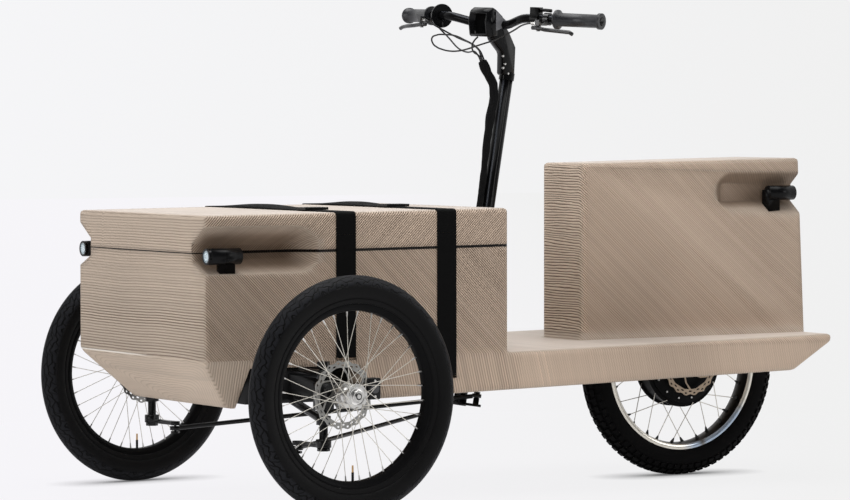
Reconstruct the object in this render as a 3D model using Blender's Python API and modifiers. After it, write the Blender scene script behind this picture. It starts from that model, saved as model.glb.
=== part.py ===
"""Electric cargo tricycle: two steered front wheels, a printed body with a lid, a driven rear wheel.

Metres, +X to the front, +Y to the rider's left, +Z up, the ground at z = 0.
The handlebar and the front wheels stand a little turned to the left.
"""
import math

import bmesh
import bpy
from mathutils import Matrix, Vector

# General
GAP = 0.0003
OVERSHOOT = 0.05
SIDES = {"left": 1, "right": -1}

# Wheels and track
FRONT_AXLE_X = 0.632
WHEELBASE = 1.254
TRACK = 1.084
FRONT_TYRE_R = 0.277
FRONT_TYRE_W = 0.056
FRONT_TYRE_H = 0.065
FRONT_RIM_R = FRONT_TYRE_R - FRONT_TYRE_H
REAR_TYRE_R = 0.284
REAR_TYRE_W = 0.068
REAR_TYRE_H = 0.065
REAR_RIM_R = REAR_TYRE_R - REAR_TYRE_H
FRONT_RIM_W = 0.034
REAR_RIM_W = 0.052
RIM_DEPTH = 0.017
RIM_WALL = 0.0025
WHEEL_STEPS = 40
REAR_AXLE_X = FRONT_AXLE_X - WHEELBASE

# Hubs, spokes and brake discs
HUB_FLANGE_R = 0.029
HUB_FLANGE_Y = 0.024
HUB_FLANGE_T = 0.004
HUB_BARREL_R = 0.016
HUB_CAP_R = 0.014
HUB_CAP_T = 0.006
HUB_FILLET = 0.004
HUB_DISC_SEAT_R = 0.022
FRONT_CROSS_DEG = 52
HUB_CAP_Y = 0.034
SPOKE_R = 0.0011
SPOKE_LEAN = 0.0017
SPOKE_COUNT = 32
STUB_AXLE_R = 0.008
DISC_R = 0.080
DISC_BORE_R = 0.019
DISC_T = 0.002
DISC_ARM_INNER_R = 0.033
DISC_ARM_OUTER_R = 0.064
DISC_ARM_SWEEP = 0.55
DISC_ARMS = 6
FRONT_DISC_Y = 0.040
MOTOR_R = 0.110
MOTOR_HALF_W = 0.038
MOTOR_NECK_R = 0.022
REAR_DISC_Y = 0.060
REAR_AXLE_R = 0.006
DROPOUT_T = 0.006

# Wheel arch, tunnel of the steel cross-frame
ARCH_HALF_L = 0.1425
ARCH_FRONT_X = FRONT_AXLE_X + ARCH_HALF_L + 0.0005
ARCH_REAR_X = FRONT_AXLE_X - ARCH_HALF_L + 0.0005
ARCH_TOP_Z = FRONT_TYRE_R + 0.056

# Body outline seen from the side
HALF_WIDTH = 0.338
BOX_FRONT_X = FRONT_AXLE_X + 0.267
BOX_REAR_X = 0.085
SEAM_FRONT_Z = 0.600
SEAM_REAR_Z = SEAM_FRONT_Z + 0.007
LID_FRONT_Z = SEAM_FRONT_Z + 0.088
LID_REAR_Z = LID_FRONT_Z + 0.008
CHIN_TOP_Z = 0.353
CHIN_LENGTH = 0.106
CHIN_FOOT_X = BOX_FRONT_X - CHIN_LENGTH
CHIN_FOOT_Z = 0.235
CHIN_TAPER = 0.092
CHIN_FOOT_HALF_W = HALF_WIDTH - CHIN_TAPER
BELLY_FRONT_Z = REAR_TYRE_R - 0.041
BELLY_REAR_X = REAR_AXLE_X - 0.129
BELLY_REAR_Z = REAR_TYRE_R - 0.004
TAIL_X = REAR_AXLE_X - 0.242
DECK_REAR_Z = REAR_TYRE_R + 0.084
DECK_FRONT_Z = DECK_REAR_Z - 0.018
TAIL_EDGE_Z = DECK_REAR_Z - 0.019
BODY_ROUNDING = 0.0092
WALL = 0.009
TUB_FLOOR_Z = ARCH_TOP_Z + 0.012
TUB_FLOOR_T = 0.011

# Lamp notches in the body's sides
NOTCH_DEPTH = 0.068
NOTCH_TOP_Z = SEAM_FRONT_Z + 0.064
NOTCH_BACK_TOP_Z = SEAM_FRONT_Z + 0.022
NOTCH_BACK_LOW_Z = SEAM_FRONT_Z - 0.020
NOTCH_LOW_Z = SEAM_FRONT_Z - 0.049
NOTCH_LENGTH = 0.301
NOTCH_END_X = BOX_FRONT_X - NOTCH_LENGTH
NOTCH_BLEND = 0.060
NOTCH_EASE = (1.0, 0.72, 0.38, 0.10)
LAMP_R = 0.019
LAMP_Z = SEAM_FRONT_Z - 0.006
LAMP_Y = HALF_WIDTH - 0.008
LAMP_LENGTH = 0.086
LAMP_FRONT_X = BOX_FRONT_X - 0.007
LAMP_REAR_X = LAMP_FRONT_X - LAMP_LENGTH
LENS_T = 0.006
LAMP_FOOT_X = LAMP_FRONT_X - 0.054
LAMP_FOOT_L = 0.040
LAMP_FOOT_W = 0.016
LAMP_FOOT_Y = HALF_WIDTH - 0.014

# Seat housing
SEAT_FRONT_X = REAR_AXLE_X + 0.347
SEAT_FRONT_HALF_W = 0.090
SEAT_TOP_REAR_X = REAR_AXLE_X - 0.280
SEAT_TOP_REAR_HALF_W = 0.141
SEAT_FOOT_REAR_HALF_W = 0.224
SEAT_SINK = 0.020
SEAT_TOP_FRONT_Z = 0.797
SEAT_TOP_REAR_Z = SEAT_TOP_FRONT_Z + 0.010
TAIL_NOTCH_END_X = REAR_AXLE_X - 0.037
TAIL_NOTCH_DEPTH = 0.046
TAIL_NOTCH_BLEND = 0.050
TAIL_NOTCH_DROPS = (0.026, 0.067, 0.107, 0.138)
TAIL_NOTCH_Z = [SEAT_TOP_REAR_Z - drop for drop in TAIL_NOTCH_DROPS]
TAIL_LAMP_Y = SEAT_TOP_REAR_HALF_W - 0.001
TAIL_LAMP_Z = SEAT_TOP_REAR_Z - 0.0885
TAIL_LAMP_R = 0.0185
TAIL_LAMP_LENGTH = 0.076
TAIL_LAMP_REAR_X = SEAT_TOP_REAR_X + 0.020
TAIL_LAMP_FRONT_X = TAIL_LAMP_REAR_X + TAIL_LAMP_LENGTH
TAIL_LAMP_FOOT_L = 0.034
TAIL_LAMP_FOOT_W = 0.030
TAIL_LAMP_FOOT_X = TAIL_LAMP_FRONT_X - 0.016
TAIL_LAMP_FOOT_Y = TAIL_LAMP_Y - 0.010

# Rear wheel well and battery bay
WELL_FRONT_X = REAR_AXLE_X + REAR_TYRE_R + 0.038
WELL_HALF_W = 0.100
WELL_TOP_Z = REAR_TYRE_R + 0.061
WHEEL_CLEARANCE = 0.022
SEAT_WELL_HALF_W = 0.052
DISC_WELL_HALF_W = 0.078
DISC_WELL_R = 0.096
BAY_FRONT_X = -0.045
BAY_REAR_X = WELL_FRONT_X + 0.038
BAY_HALF_W = HALF_WIDTH - 0.058
BAY_HEIGHT = 0.078
COVER_LIP = 0.014
COVER_T = 0.003
BATTERY_H = BAY_HEIGHT - 0.012
BATTERY_L = BAY_FRONT_X - BAY_REAR_X - 0.027
BATTERY_W = 2 * BAY_HALF_W - 0.140

# Steering column, stem and handlebar
COLUMN_LEAN_DEG = 9.6
COLUMN_FOOT_Z = BELLY_FRONT_Z - 0.038
COLUMN_FOOT_X = 0.022
COLUMN_R = 0.0165
COLUMN_TOP_Z = 1.014
COLUMN_TOP_X = COLUMN_FOOT_X - (COLUMN_TOP_Z - COLUMN_FOOT_Z) * math.tan(math.radians(COLUMN_LEAN_DEG))
BEARING_T = 0.0035
BEARING_FLANGE_R = 0.034
BEARING_FLANGE_T = 0.008
BAR_TURN_DEG = 13.2
STEM_WIDTH = 0.032
DISPLAY_WIDTH = 0.070
BAR_R = 0.011
BAR_X = COLUMN_TOP_X + 0.04583
BAR_Z = COLUMN_TOP_Z + 0.127
BAR_MIDDLE_HALF = 0.045
BAR_STRAIGHT = 0.095
GRIP_INNER = (BAR_X + 0.004, 0.221, BAR_Z + 0.018)
GRIP_OUTER = (BAR_X - 0.028, 0.344, BAR_Z + 0.016)
GRIP_R = 0.0165
GRIP_FLANGE_R = 0.024
GRIP_END_R = 0.020

# Brake levers and switches, measured along the bar from the grip's inner end
PERCH_ALONG = -0.025
LEVER_ROOT = (0.044, -0.025, -0.0218)
LEVER_R = 0.005
LEVER_EYE_R = 0.0065
LEVER_EYE_H = 0.011
LEVER_PIN_R = 0.0022
SWITCH_ALONG = -0.057
SWITCH_SIZE = (0.026, 0.0215, 0.022)
SWITCH_UP = 0.0168
THUMB_UP = 0.0205
THUMB_END = -0.014
THUMB_POCKET = (0.017, 0.009, 0.010)
THUMB_EYE_R = 0.0035
THUMB_PIN_R = 0.0015
THROTTLE_ALONG = -0.043
THROTTLE_DRUM_R = 0.0270
THROTTLE_FLANGE_R = 0.0300

# Steering linkage
KINGPIN_X = FRONT_AXLE_X + 0.017
KINGPIN_Y = TRACK / 2 - 0.096
KINGPIN_R = 0.010
KINGPIN_TOP_Z = FRONT_TYRE_R + 0.075
KINGPIN_FOOT_Z = FRONT_TYRE_R - 0.132
FRAME_HALF_W = HALF_WIDTH - 0.048
FRAME_LOW_Z = FRONT_TYRE_R - 0.030
FRAME_ARM_R = 0.010
FRAME_EYE_R = 0.017
FRAME_EYE_H = 0.020
FRAME_EYE_Z = (FRONT_TYRE_R + 0.045, FRONT_TYRE_R - 0.061)
WHEEL_TURN_DEG = {"left": 4.2, "right": 6.6}
ARM_TURN_DEG = 6.6
ARM_LENGTH = 0.106
ARM_Z = FRONT_TYRE_R - 0.120
ARM_T = 0.009
PLATE_REACH = 0.0565
PLATE_T = 0.006
SPACER = {"left": 0.010, "right": 0.016}
EYE_R = 0.0135
EYE_BORE_R = 0.0098
EYE_T = 0.009
PIN_R = 0.003
LINK_R = 0.0055
LINK_GAP = 0.0028

# Cables
SLEEVE_R = 0.0105
SLEEVE_FOOT_Z = DECK_FRONT_Z + 0.060
SLEEVE_TOP = ((0.0238, -0.0150, -0.0912), (0.0100, -0.0110, -0.1220), (-0.0100, -0.0050, -0.1610))
SLEEVE_LIE_Z = BAR_Z - 0.211
SLEEVE_BULGE = 0.009
SLEEVE_STEP = 0.080
MOUTH_SPREAD = 0.0033
CABLE_R = 0.0017

# Straps over the lid
STRAP_W = 0.052
STRAP_T = 0.002
STRAP_X = {"front": BOX_FRONT_X - 0.369, "rear": BOX_REAR_X + 0.172}
STRAP_FOOT_Z = {"front": ARCH_TOP_Z + 0.015, "rear": ARCH_TOP_Z - 0.036}
STRAP_POCKET_DEPTH = 0.006
STRAP_POCKET_H = 0.006
STRAP_JOIN_Z = SEAM_FRONT_Z + 0.040
BUCKLE_Y = {"front": 0.175, "rear": 0.085}
BUCKLE_T = 0.006
BUCKLE_HALF_L = 0.022
BUCKLE_RAIL = 0.005
BUCKLE_SLOT_Y = 0.010
BUCKLE_SLOT_HALF = 0.004

COLLECTION = "electric_tricycle"
CUTTERS = "cutters"


# Scene helpers

def clear_scene():
    for thing in list(bpy.data.objects):
        bpy.data.objects.remove(thing, do_unlink=True)


def collection(name):
    found = bpy.data.collections.get(name)
    if found is None:
        found = bpy.data.collections.new(name)
        bpy.context.scene.collection.children.link(found)
    return found


def material(name, colour, roughness, metallic=0.0):
    found = bpy.data.materials.get(name)
    if found is None:
        found = bpy.data.materials.new(name)
        found.use_nodes = True
        shader = found.node_tree.nodes["Principled BSDF"]
        shader.inputs["Base Color"].default_value = (*colour, 1.0)
        shader.inputs["Roughness"].default_value = roughness
        shader.inputs["Metallic"].default_value = metallic
    return found


def printed_plastic():
    return material("printed_plastic", (0.55, 0.46, 0.37), 0.6)


def black_paint():
    return material("black_paint", (0.02, 0.02, 0.02), 0.35)


def black_plastic():
    return material("black_plastic", (0.02, 0.02, 0.022), 0.5)


def rubber():
    return material("rubber", (0.025, 0.025, 0.025), 0.8)


def webbing():
    return material("webbing", (0.015, 0.015, 0.015), 0.85)


def bright_steel():
    return material("bright_steel", (0.62, 0.62, 0.63), 0.3, 1.0)


def chrome():
    return material("chrome", (0.8, 0.8, 0.82), 0.1, 1.0)


def lens_glass():
    return material("lens_glass", (0.9, 0.92, 0.95), 0.1)


def add_object(name, mesh, paint, cutter=False):
    thing = bpy.data.objects.new(name, mesh)
    collection(CUTTERS if cutter else COLLECTION).objects.link(thing)
    if cutter:
        thing.hide_render = True
        thing.display_type = "WIRE"
    if paint is not None:
        mesh.materials.clear()
        mesh.materials.append(paint)
    return thing


def mesh_from(builder, name):
    mesh = bpy.data.meshes.new(name)
    builder.to_mesh(mesh)
    builder.free()
    return mesh


def smooth(mesh, angle_deg=35):
    mesh.shade_smooth()
    mesh.set_sharp_from_angle(angle=math.radians(angle_deg))


def block(name, size, centre, paint=None, cutter=False, rounding=0.0):
    """A box of the given size, its edges rounded where asked."""
    shape = bmesh.new()
    bmesh.ops.create_cube(shape, size=1.0)
    bmesh.ops.scale(shape, vec=size, verts=shape.verts)
    bmesh.ops.translate(shape, vec=centre, verts=shape.verts)
    thing = add_object(name, mesh_from(shape, name), paint, cutter)
    if rounding:
        round_edges(thing, rounding)
    return thing


def round_edges(thing, width, segments=2, angle_deg=30):
    bevel = thing.modifiers.new("rounding", "BEVEL")
    bevel.width = width
    bevel.segments = segments
    bevel.limit_method = "ANGLE"
    bevel.angle_limit = math.radians(angle_deg)
    return bevel


def along(start, end):
    """Matrix whose Z runs from start to end, placed halfway."""
    start, end = Vector(start), Vector(end)
    turn = (end - start).to_track_quat("Z", "Y").to_matrix().to_4x4()
    return Matrix.Translation((start + end) / 2) @ turn


def add_rod(shape, start, end, radius, segments, end_radius=None):
    """Adds a round bar between two points to a mesh being built."""
    bmesh.ops.create_cone(
        shape, cap_ends=True, segments=segments, radius1=radius,
        radius2=radius if end_radius is None else end_radius,
        depth=(Vector(end) - Vector(start)).length, matrix=along(start, end))


def rod(name, start, end, radius, segments=20, paint=None, cutter=False):
    shape = bmesh.new()
    add_rod(shape, start, end, radius, segments)
    mesh = mesh_from(shape, name)
    smooth(mesh)
    return add_object(name, mesh, paint, cutter)


def as_mesh(curve_object, name, paint, cutter=False):
    """Turns a curve into a closed mesh object of the same name and place."""
    graph = bpy.context.evaluated_depsgraph_get()
    mesh = bpy.data.meshes.new_from_object(curve_object.evaluated_get(graph))
    mesh.name = name
    shape = bmesh.new()
    shape.from_mesh(mesh)
    bmesh.ops.remove_doubles(shape, verts=shape.verts, dist=0.00001)
    bmesh.ops.recalc_face_normals(shape, faces=shape.faces)
    shape.to_mesh(mesh)
    shape.free()
    place = curve_object.matrix_world.copy()
    bpy.data.objects.remove(curve_object, do_unlink=True)
    thing = add_object(name, mesh, paint, cutter)
    thing.matrix_world = place
    return thing


def outline_curve(name, loops, thickness):
    """A flat 2D curve of closed outlines, thickened evenly to both sides."""
    curve = bpy.data.curves.new(name + "_outline", "CURVE")
    curve.dimensions = "2D"
    curve.fill_mode = "BOTH"
    curve.extrude = thickness / 2
    for loop in loops:
        spline = curve.splines.new("POLY")
        spline.points.add(len(loop) - 1)
        for point, (u, v) in zip(spline.points, loop):
            point.co = (u, v, 0.0, 1.0)
        spline.use_cyclic_u = True
    thing = bpy.data.objects.new(name + "_outline", curve)
    collection(COLLECTION).objects.link(thing)
    return thing


def side_plate(name, loops, thickness, middle_y=0.0, paint=None, cutter=False):
    """A plate whose outline is given in X and Z and whose thickness runs along Y."""
    thing = outline_curve(name, loops, thickness)
    thing.matrix_world = Matrix.Translation((0, middle_y, 0)) @ Matrix.Rotation(math.pi / 2, 4, "X")
    bpy.context.view_layer.update()
    thing = as_mesh(thing, name, paint, cutter)
    thing.data.transform(thing.matrix_world)
    thing.matrix_world = Matrix.Identity(4)
    fix_normals(thing.data)
    return thing


def floor_plate(name, loops, thickness, middle_z, paint=None, cutter=False):
    """A plate whose outline is given in X and Y and whose thickness runs along Z."""
    thing = as_mesh(outline_curve(name, loops, thickness), name, paint, cutter)
    thing.data.transform(Matrix.Translation((0, 0, middle_z)))
    fix_normals(thing.data)
    return thing


def merge_flat(thing):
    """Joins the flat triangles of a filled outline, so that a bevel meets whole faces."""
    shape = bmesh.new()
    shape.from_mesh(thing.data)
    bmesh.ops.dissolve_limit(shape, angle_limit=math.radians(0.5), verts=shape.verts, edges=shape.edges)
    shape.to_mesh(thing.data)
    shape.free()
    return thing


def fix_normals(mesh):
    shape = bmesh.new()
    shape.from_mesh(mesh)
    bmesh.ops.recalc_face_normals(shape, faces=shape.faces)
    shape.to_mesh(mesh)
    shape.free()


def tube(name, points, radius, paint, resolution=2):
    """A wire or bar along a chain of points, with closed ends."""
    curve = bpy.data.curves.new(name, "CURVE")
    curve.dimensions = "3D"
    curve.bevel_depth = radius
    curve.bevel_resolution = resolution
    curve.use_fill_caps = True
    spline = curve.splines.new("POLY")
    spline.points.add(len(points) - 1)
    for point, place in zip(spline.points, points):
        point.co = (*place, 1.0)
    thing = bpy.data.objects.new(name, curve)
    collection(COLLECTION).objects.link(thing)
    curve.materials.append(paint)
    return thing


def rounded_path(corners, reach, steps=4):
    """Points along straight runs whose corners are rounded with arcs of a parabola."""
    points = [Vector(corners[0])]
    for before, corner, after in zip(corners, corners[1:], corners[2:]):
        before, corner, after = Vector(before), Vector(corner), Vector(after)
        start = corner + (before - corner).normalized() * reach
        end = corner + (after - corner).normalized() * reach
        for step in range(steps + 1):
            t = step / steps
            points.append(start * (1 - t) ** 2 + corner * 2 * t * (1 - t) + end * t ** 2)
    points.append(Vector(corners[-1]))
    return points


def smooth_path(knots, spacing):
    """Evenly spaced points of a smooth curve through the knots."""
    knots = [Vector(knot) for knot in knots]
    padded = [knots[0] * 2 - knots[1], *knots, knots[-1] * 2 - knots[-2]]
    fine = []
    for a, b, c, d in zip(padded, padded[1:], padded[2:], padded[3:]):
        for step in range(12):
            t = step / 12
            fine.append(0.5 * (b * 2 + (c - a) * t + (a * 2 - b * 5 + c * 4 - d) * t * t
                               + (b * 3 - a - c * 3 + d) * t ** 3))
    fine.append(knots[-1])
    points = [fine[0]]
    for place in fine[1:]:
        if (place - points[-1]).length >= spacing:
            points.append(place)
    if (fine[-1] - points[-1]).length < spacing / 2:
        points.pop()
    points.append(fine[-1])
    return points


def turned(name, profile, closed, steps, paint=None, cutter=False):
    """A turned piece round Z: the profile's points are (radius, height), top to bottom outside."""
    mesh = bpy.data.meshes.new(name)
    count = len(profile)
    edges = [(i, i + 1) for i in range(count - 1)]
    if closed:
        edges.append((count - 1, 0))
    mesh.from_pydata([(radius, 0.0, height) for radius, height in profile], edges, [])
    thing = add_object(name, mesh, paint, cutter)
    screw = thing.modifiers.new("turning", "SCREW")
    screw.axis = "Z"
    screw.steps = steps
    screw.render_steps = steps
    screw.use_merge_vertices = True
    screw.merge_threshold = 0.00002
    return thing


def lay_across(thing, centre, turn_step=0.0):
    """Turns a piece made round Z so that its axis lies along Y."""
    thing.matrix_world = (Matrix.Translation(centre) @ Matrix.Rotation(-math.pi / 2, 4, "X")
                          @ Matrix.Rotation(turn_step, 4, "Z"))


def boolean(thing, other, operation="DIFFERENCE", self_crossing=False):
    cut = thing.modifiers.new(operation.lower(), "BOOLEAN")
    cut.object = other
    cut.operation = operation
    cut.solver = "EXACT"
    cut.use_self = self_crossing
    return cut


def bake(thing):
    """Applies an object's modifiers and its own place to its mesh."""
    bpy.context.view_layer.update()
    graph = bpy.context.evaluated_depsgraph_get()
    mesh = bpy.data.meshes.new_from_object(thing.evaluated_get(graph))
    mesh.transform(thing.matrix_world)
    old = thing.data
    thing.modifiers.clear()
    thing.data = mesh
    thing.matrix_world = Matrix.Identity(4)
    mesh.name = thing.name
    bpy.data.meshes.remove(old)
    return thing


def union(thing, others, self_crossing=False):
    """Joins other objects to one by Boolean unions and removes them."""
    for other in others:
        bake(other)
        boolean(thing, other, "UNION", self_crossing)
    bake(thing)
    for other in others:
        bpy.data.objects.remove(other, do_unlink=True)
    return thing


def subtract(thing, cutters):
    """Cuts the cutters out of an object. The cutters stay, hidden in renders."""
    for cutter in cutters:
        boolean(thing, cutter)
    return thing


def pivot(name, point, turn):
    """An empty on a joint's axis, turned from the straight-ahead pose to the pose at rest."""
    empty = bpy.data.objects.new(name, None)
    empty.empty_display_size = 0.05
    collection(COLLECTION).objects.link(empty)
    empty.matrix_world = Matrix.Translation(point) @ turn
    return empty


def place_on(thing, empty, axis_point):
    """Parents a piece, modelled in the straight-ahead pose, to the turned pivot of its joint."""
    thing.parent = empty
    thing.matrix_world = empty.matrix_world @ Matrix.Translation(-Vector(axis_point)) @ thing.matrix_world


def origin_at(thing, point):
    """Moves a baked piece's origin to a point of its hinge and leaves the piece where it is."""
    thing.data.transform(Matrix.Translation(-Vector(point)))
    thing.matrix_world = Matrix.Translation(point)
    return thing


# Lines that several pieces share

def belly_z(x):
    share = (CHIN_FOOT_X - x) / (CHIN_FOOT_X - BELLY_REAR_X)
    return BELLY_FRONT_Z + (BELLY_REAR_Z - BELLY_FRONT_Z) * share


def seam_z(x):
    share = (BOX_FRONT_X - x) / (BOX_FRONT_X - BOX_REAR_X)
    return SEAM_FRONT_Z + (SEAM_REAR_Z - SEAM_FRONT_Z) * share


def lid_z(x):
    share = (BOX_FRONT_X - x) / (BOX_FRONT_X - BOX_REAR_X)
    return LID_FRONT_Z + (LID_REAR_Z - LID_FRONT_Z) * share


def deck_z(x):
    share = (BOX_REAR_X - x) / (BOX_REAR_X - TAIL_X)
    return DECK_FRONT_Z + (DECK_REAR_Z - DECK_FRONT_Z) * share


def column_x(z):
    return COLUMN_FOOT_X - (z - COLUMN_FOOT_Z) * math.tan(math.radians(COLUMN_LEAN_DEG))


def column_point(z):
    return Vector((column_x(z), 0.0, z))


def column_axis():
    lean = math.radians(COLUMN_LEAN_DEG)
    return Vector((-math.sin(lean), 0.0, math.cos(lean)))


def wheel_centre(side):
    return Vector((FRONT_AXLE_X, SIDES[side] * TRACK / 2, FRONT_TYRE_R))


# Printed body and lid

def whole_shell(name):
    """Body and closed lid as one rounded block, before they are parted at the seam."""
    outline = [(BOX_FRONT_X, LID_FRONT_Z), (BOX_FRONT_X, CHIN_TOP_Z),
               (CHIN_FOOT_X, CHIN_FOOT_Z), (ARCH_REAR_X, belly_z(ARCH_REAR_X)),
               (BELLY_REAR_X, BELLY_REAR_Z), (TAIL_X, TAIL_EDGE_Z),
               (TAIL_X, DECK_REAR_Z), (BOX_REAR_X, DECK_FRONT_Z), (BOX_REAR_X, LID_REAR_Z)]
    return merge_flat(side_plate(name, [outline], 2 * HALF_WIDTH, paint=printed_plastic()))


def chin_wedge(side):
    """What is cut off below the front corner, where the side turns under the chin."""
    out, reach = SIDES[side], OVERSHOOT * 6
    rise = OVERSHOOT * (CHIN_TOP_Z - CHIN_FOOT_Z) / CHIN_TAPER
    loop = [(out * (HALF_WIDTH + OVERSHOOT), CHIN_TOP_Z + rise),
            (out * (CHIN_FOOT_HALF_W - OVERSHOOT), CHIN_FOOT_Z - rise),
            (out * (HALF_WIDTH + reach), CHIN_FOOT_Z - rise),
            (out * (HALF_WIDTH + reach), CHIN_TOP_Z + rise)]
    wedge = outline_curve("chin_wedge_" + side, [loop], 0.2)
    turn = Matrix(((0, 0, 1, ARCH_FRONT_X + 0.1 - 0.0002), (1, 0, 0, 0), (0, 1, 0, 0), (0, 0, 0, 1)))
    wedge.matrix_world = turn
    bpy.context.view_layer.update()
    wedge = as_mesh(wedge, "chin_wedge_" + side, None, cutter=True)
    return bake(wedge)


def side_notch(name, side, stations, heights):
    """A groove along the side, lofted through stations of (x, depth, outer half width)."""
    out = SIDES[side]
    top, back_top, back_low, low = heights
    full = stations[0][1]
    shape = bmesh.new()
    rings = []
    for x, depth, half_width in stations:
        reach = full + 0.03
        slope_top = (top - back_top) / full
        slope_low = (back_low - low) / full
        inner = half_width - depth
        ring = [(inner + reach, back_top + slope_top * reach), (inner, back_top),
                (inner, back_low), (inner + reach, back_low - slope_low * reach)]
        rings.append([shape.verts.new((x, out * y, z)) for y, z in ring])
    for one, two in zip(rings, rings[1:]):
        for i in range(4):
            shape.faces.new((one[i], one[(i + 1) % 4], two[(i + 1) % 4], two[i]))
    shape.faces.new(rings[0])
    shape.faces.new(rings[-1])
    bmesh.ops.recalc_face_normals(shape, faces=shape.faces)
    bmesh.ops.triangulate(shape, faces=shape.faces)
    return add_object(name, mesh_from(shape, name), None, cutter=True)


def lamp_notch(side, grow=0.0):
    """The front lamp's notch, or the same notch grown by a wall for the hollow behind it."""
    depth = NOTCH_DEPTH + grow
    end = NOTCH_END_X - grow
    stations = [(BOX_FRONT_X + OVERSHOOT, depth, HALF_WIDTH)]
    for share in NOTCH_EASE:
        x = end + NOTCH_BLEND * share
        stations.append((x, depth * math.sin(share * math.pi / 2) ** 0.8, HALF_WIDTH))
    heights = (NOTCH_TOP_Z + grow, NOTCH_BACK_TOP_Z + grow, NOTCH_BACK_LOW_Z - grow, NOTCH_LOW_Z - grow)
    label = "lamp_notch_" if not grow else "lamp_notch_wall_"
    return side_notch(label + side, side, stations, heights)


def slope_z(depth, full_depth, low, back_low):
    """Height of a notch's lower slope at a depth below the side's surface."""
    return low + (back_low - low) * depth / full_depth


def seat_half_width(x, z):
    share = (SEAT_FRONT_X - x) / (SEAT_FRONT_X - SEAT_TOP_REAR_X)
    low = (z - DECK_REAR_Z) / (SEAT_TOP_REAR_Z - DECK_REAR_Z)
    rear = SEAT_FOOT_REAR_HALF_W + (SEAT_TOP_REAR_HALF_W - SEAT_FOOT_REAR_HALF_W) * low
    return SEAT_FRONT_HALF_W + (rear - SEAT_FRONT_HALF_W) * share


def tail_notch(side):
    """The tail lamp's notch in the seat housing's rear corner."""
    top, back_top, back_low, low = TAIL_NOTCH_Z
    middle = (back_top + back_low) / 2
    rear = SEAT_TOP_REAR_X - OVERSHOOT
    stations = [(rear, TAIL_NOTCH_DEPTH, seat_half_width(rear, middle))]
    for share in NOTCH_EASE:
        x = TAIL_NOTCH_END_X - TAIL_NOTCH_BLEND * share
        depth = TAIL_NOTCH_DEPTH * math.sin(share * math.pi / 2) ** 0.8
        stations.append((x, depth, seat_half_width(x, middle)))
    return side_notch("tail_notch_" + side, side, stations, TAIL_NOTCH_Z)


def seat_housing():
    """The tapering block under the saddle: narrow in front, wide behind, sides leaning in."""
    shape = bmesh.new()
    bmesh.ops.create_cube(shape, size=2.0)
    for vert in shape.verts:
        at_front, at_top = vert.co.x > 0, vert.co.z > 0
        out = 1 if vert.co.y > 0 else -1
        if at_front:
            z = SEAT_TOP_FRONT_Z if at_top else deck_z(SEAT_FRONT_X) - SEAT_SINK
            vert.co = (SEAT_FRONT_X, out * SEAT_FRONT_HALF_W, z)
        elif at_top:
            vert.co = (SEAT_TOP_REAR_X, out * SEAT_TOP_REAR_HALF_W, SEAT_TOP_REAR_Z)
        else:
            vert.co = (TAIL_X + GAP, out * SEAT_FOOT_REAR_HALF_W, DECK_REAR_Z - SEAT_SINK)
    thing = add_object("seat_block", mesh_from(shape, "seat_block"), printed_plastic())
    round_edges(thing, BODY_ROUNDING, 2, 40)
    return thing


def above_seam(offset, name):
    """A large block over the seam, used to part the lid from the body."""
    front, rear, high = BOX_FRONT_X + OVERSHOOT, BOX_REAR_X - 0.004, LID_REAR_Z + OVERSHOOT
    loop = [(front, seam_z(front) + offset), (rear, seam_z(BOX_REAR_X) + offset), (rear, high), (front, high)]
    return side_plate(name, [loop], 2 * (HALF_WIDTH + OVERSHOOT), cutter=True)


def lid_cavity(name, wall):
    """The hollow of the closed lid, open below."""
    loop = [(BOX_FRONT_X - wall, seam_z(BOX_FRONT_X) - 0.02), (BOX_REAR_X + wall, seam_z(BOX_REAR_X) - 0.02),
            (BOX_REAR_X + wall, LID_REAR_Z - wall), (BOX_FRONT_X - wall, LID_FRONT_Z - wall)]
    return side_plate(name, [loop], 2 * (HALF_WIDTH - wall), cutter=True)


def make_lid():
    lid = whole_shell("lid")
    round_edges(lid, BODY_ROUNDING)
    boolean(lid, above_seam(GAP * 2, "lid_space"), "INTERSECT")
    hollow = lid_cavity("lid_hollow", WALL)
    for side in SIDES:
        boolean(hollow, lamp_notch(side, WALL))
    boolean(lid, hollow)
    for side in SIDES:
        boolean(lid, bpy.data.objects["lamp_notch_" + side])
    return lid


def tub_hollow():
    """The cargo space: full height between the walls, a raised floor over the cross-frame."""
    high = LID_REAR_Z + OVERSHOOT
    step_x, step_z = ARCH_REAR_X - TUB_FLOOR_T, TUB_FLOOR_Z + TUB_FLOOR_T
    loop = [(BOX_FRONT_X - WALL, high), (BOX_FRONT_X - WALL, step_z + 0.012), (step_x, step_z - 0.001),
            (step_x, belly_z(ARCH_REAR_X) + TUB_FLOOR_T), (BOX_REAR_X + WALL, belly_z(BOX_REAR_X) + TUB_FLOOR_T),
            (BOX_REAR_X + WALL, high)]
    hollow = side_plate("tub_hollow", [loop], 2 * (HALF_WIDTH - WALL), cutter=True)
    for side in SIDES:
        boolean(hollow, bpy.data.objects["lamp_notch_wall_" + side])
    return hollow


def sloped_block(name, front_x, rear_x, half_width, low, high, paint=None, cutter=False, middle_y=0.0):
    """A block parallel to the raked belly, between two heights above it."""
    loop = [(front_x, belly_z(front_x) + low), (rear_x, belly_z(rear_x) + low),
            (rear_x, belly_z(rear_x) + high), (front_x, belly_z(front_x) + high)]
    return side_plate(name, [loop], 2 * half_width, middle_y, paint, cutter)


def strap_pocket(which, side):
    """The slot in the tub's side that takes the strap's sewn end."""
    depth = STRAP_POCKET_DEPTH + STRAP_T * 2
    y = SIDES[side] * (HALF_WIDTH - STRAP_POCKET_DEPTH + depth / 2)
    return block(f"strap_pocket_{which}_{side}", (STRAP_W + STRAP_T * 2, depth, STRAP_POCKET_H),
                 (STRAP_X[which], y, STRAP_FOOT_Z[which]), cutter=True)


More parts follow.
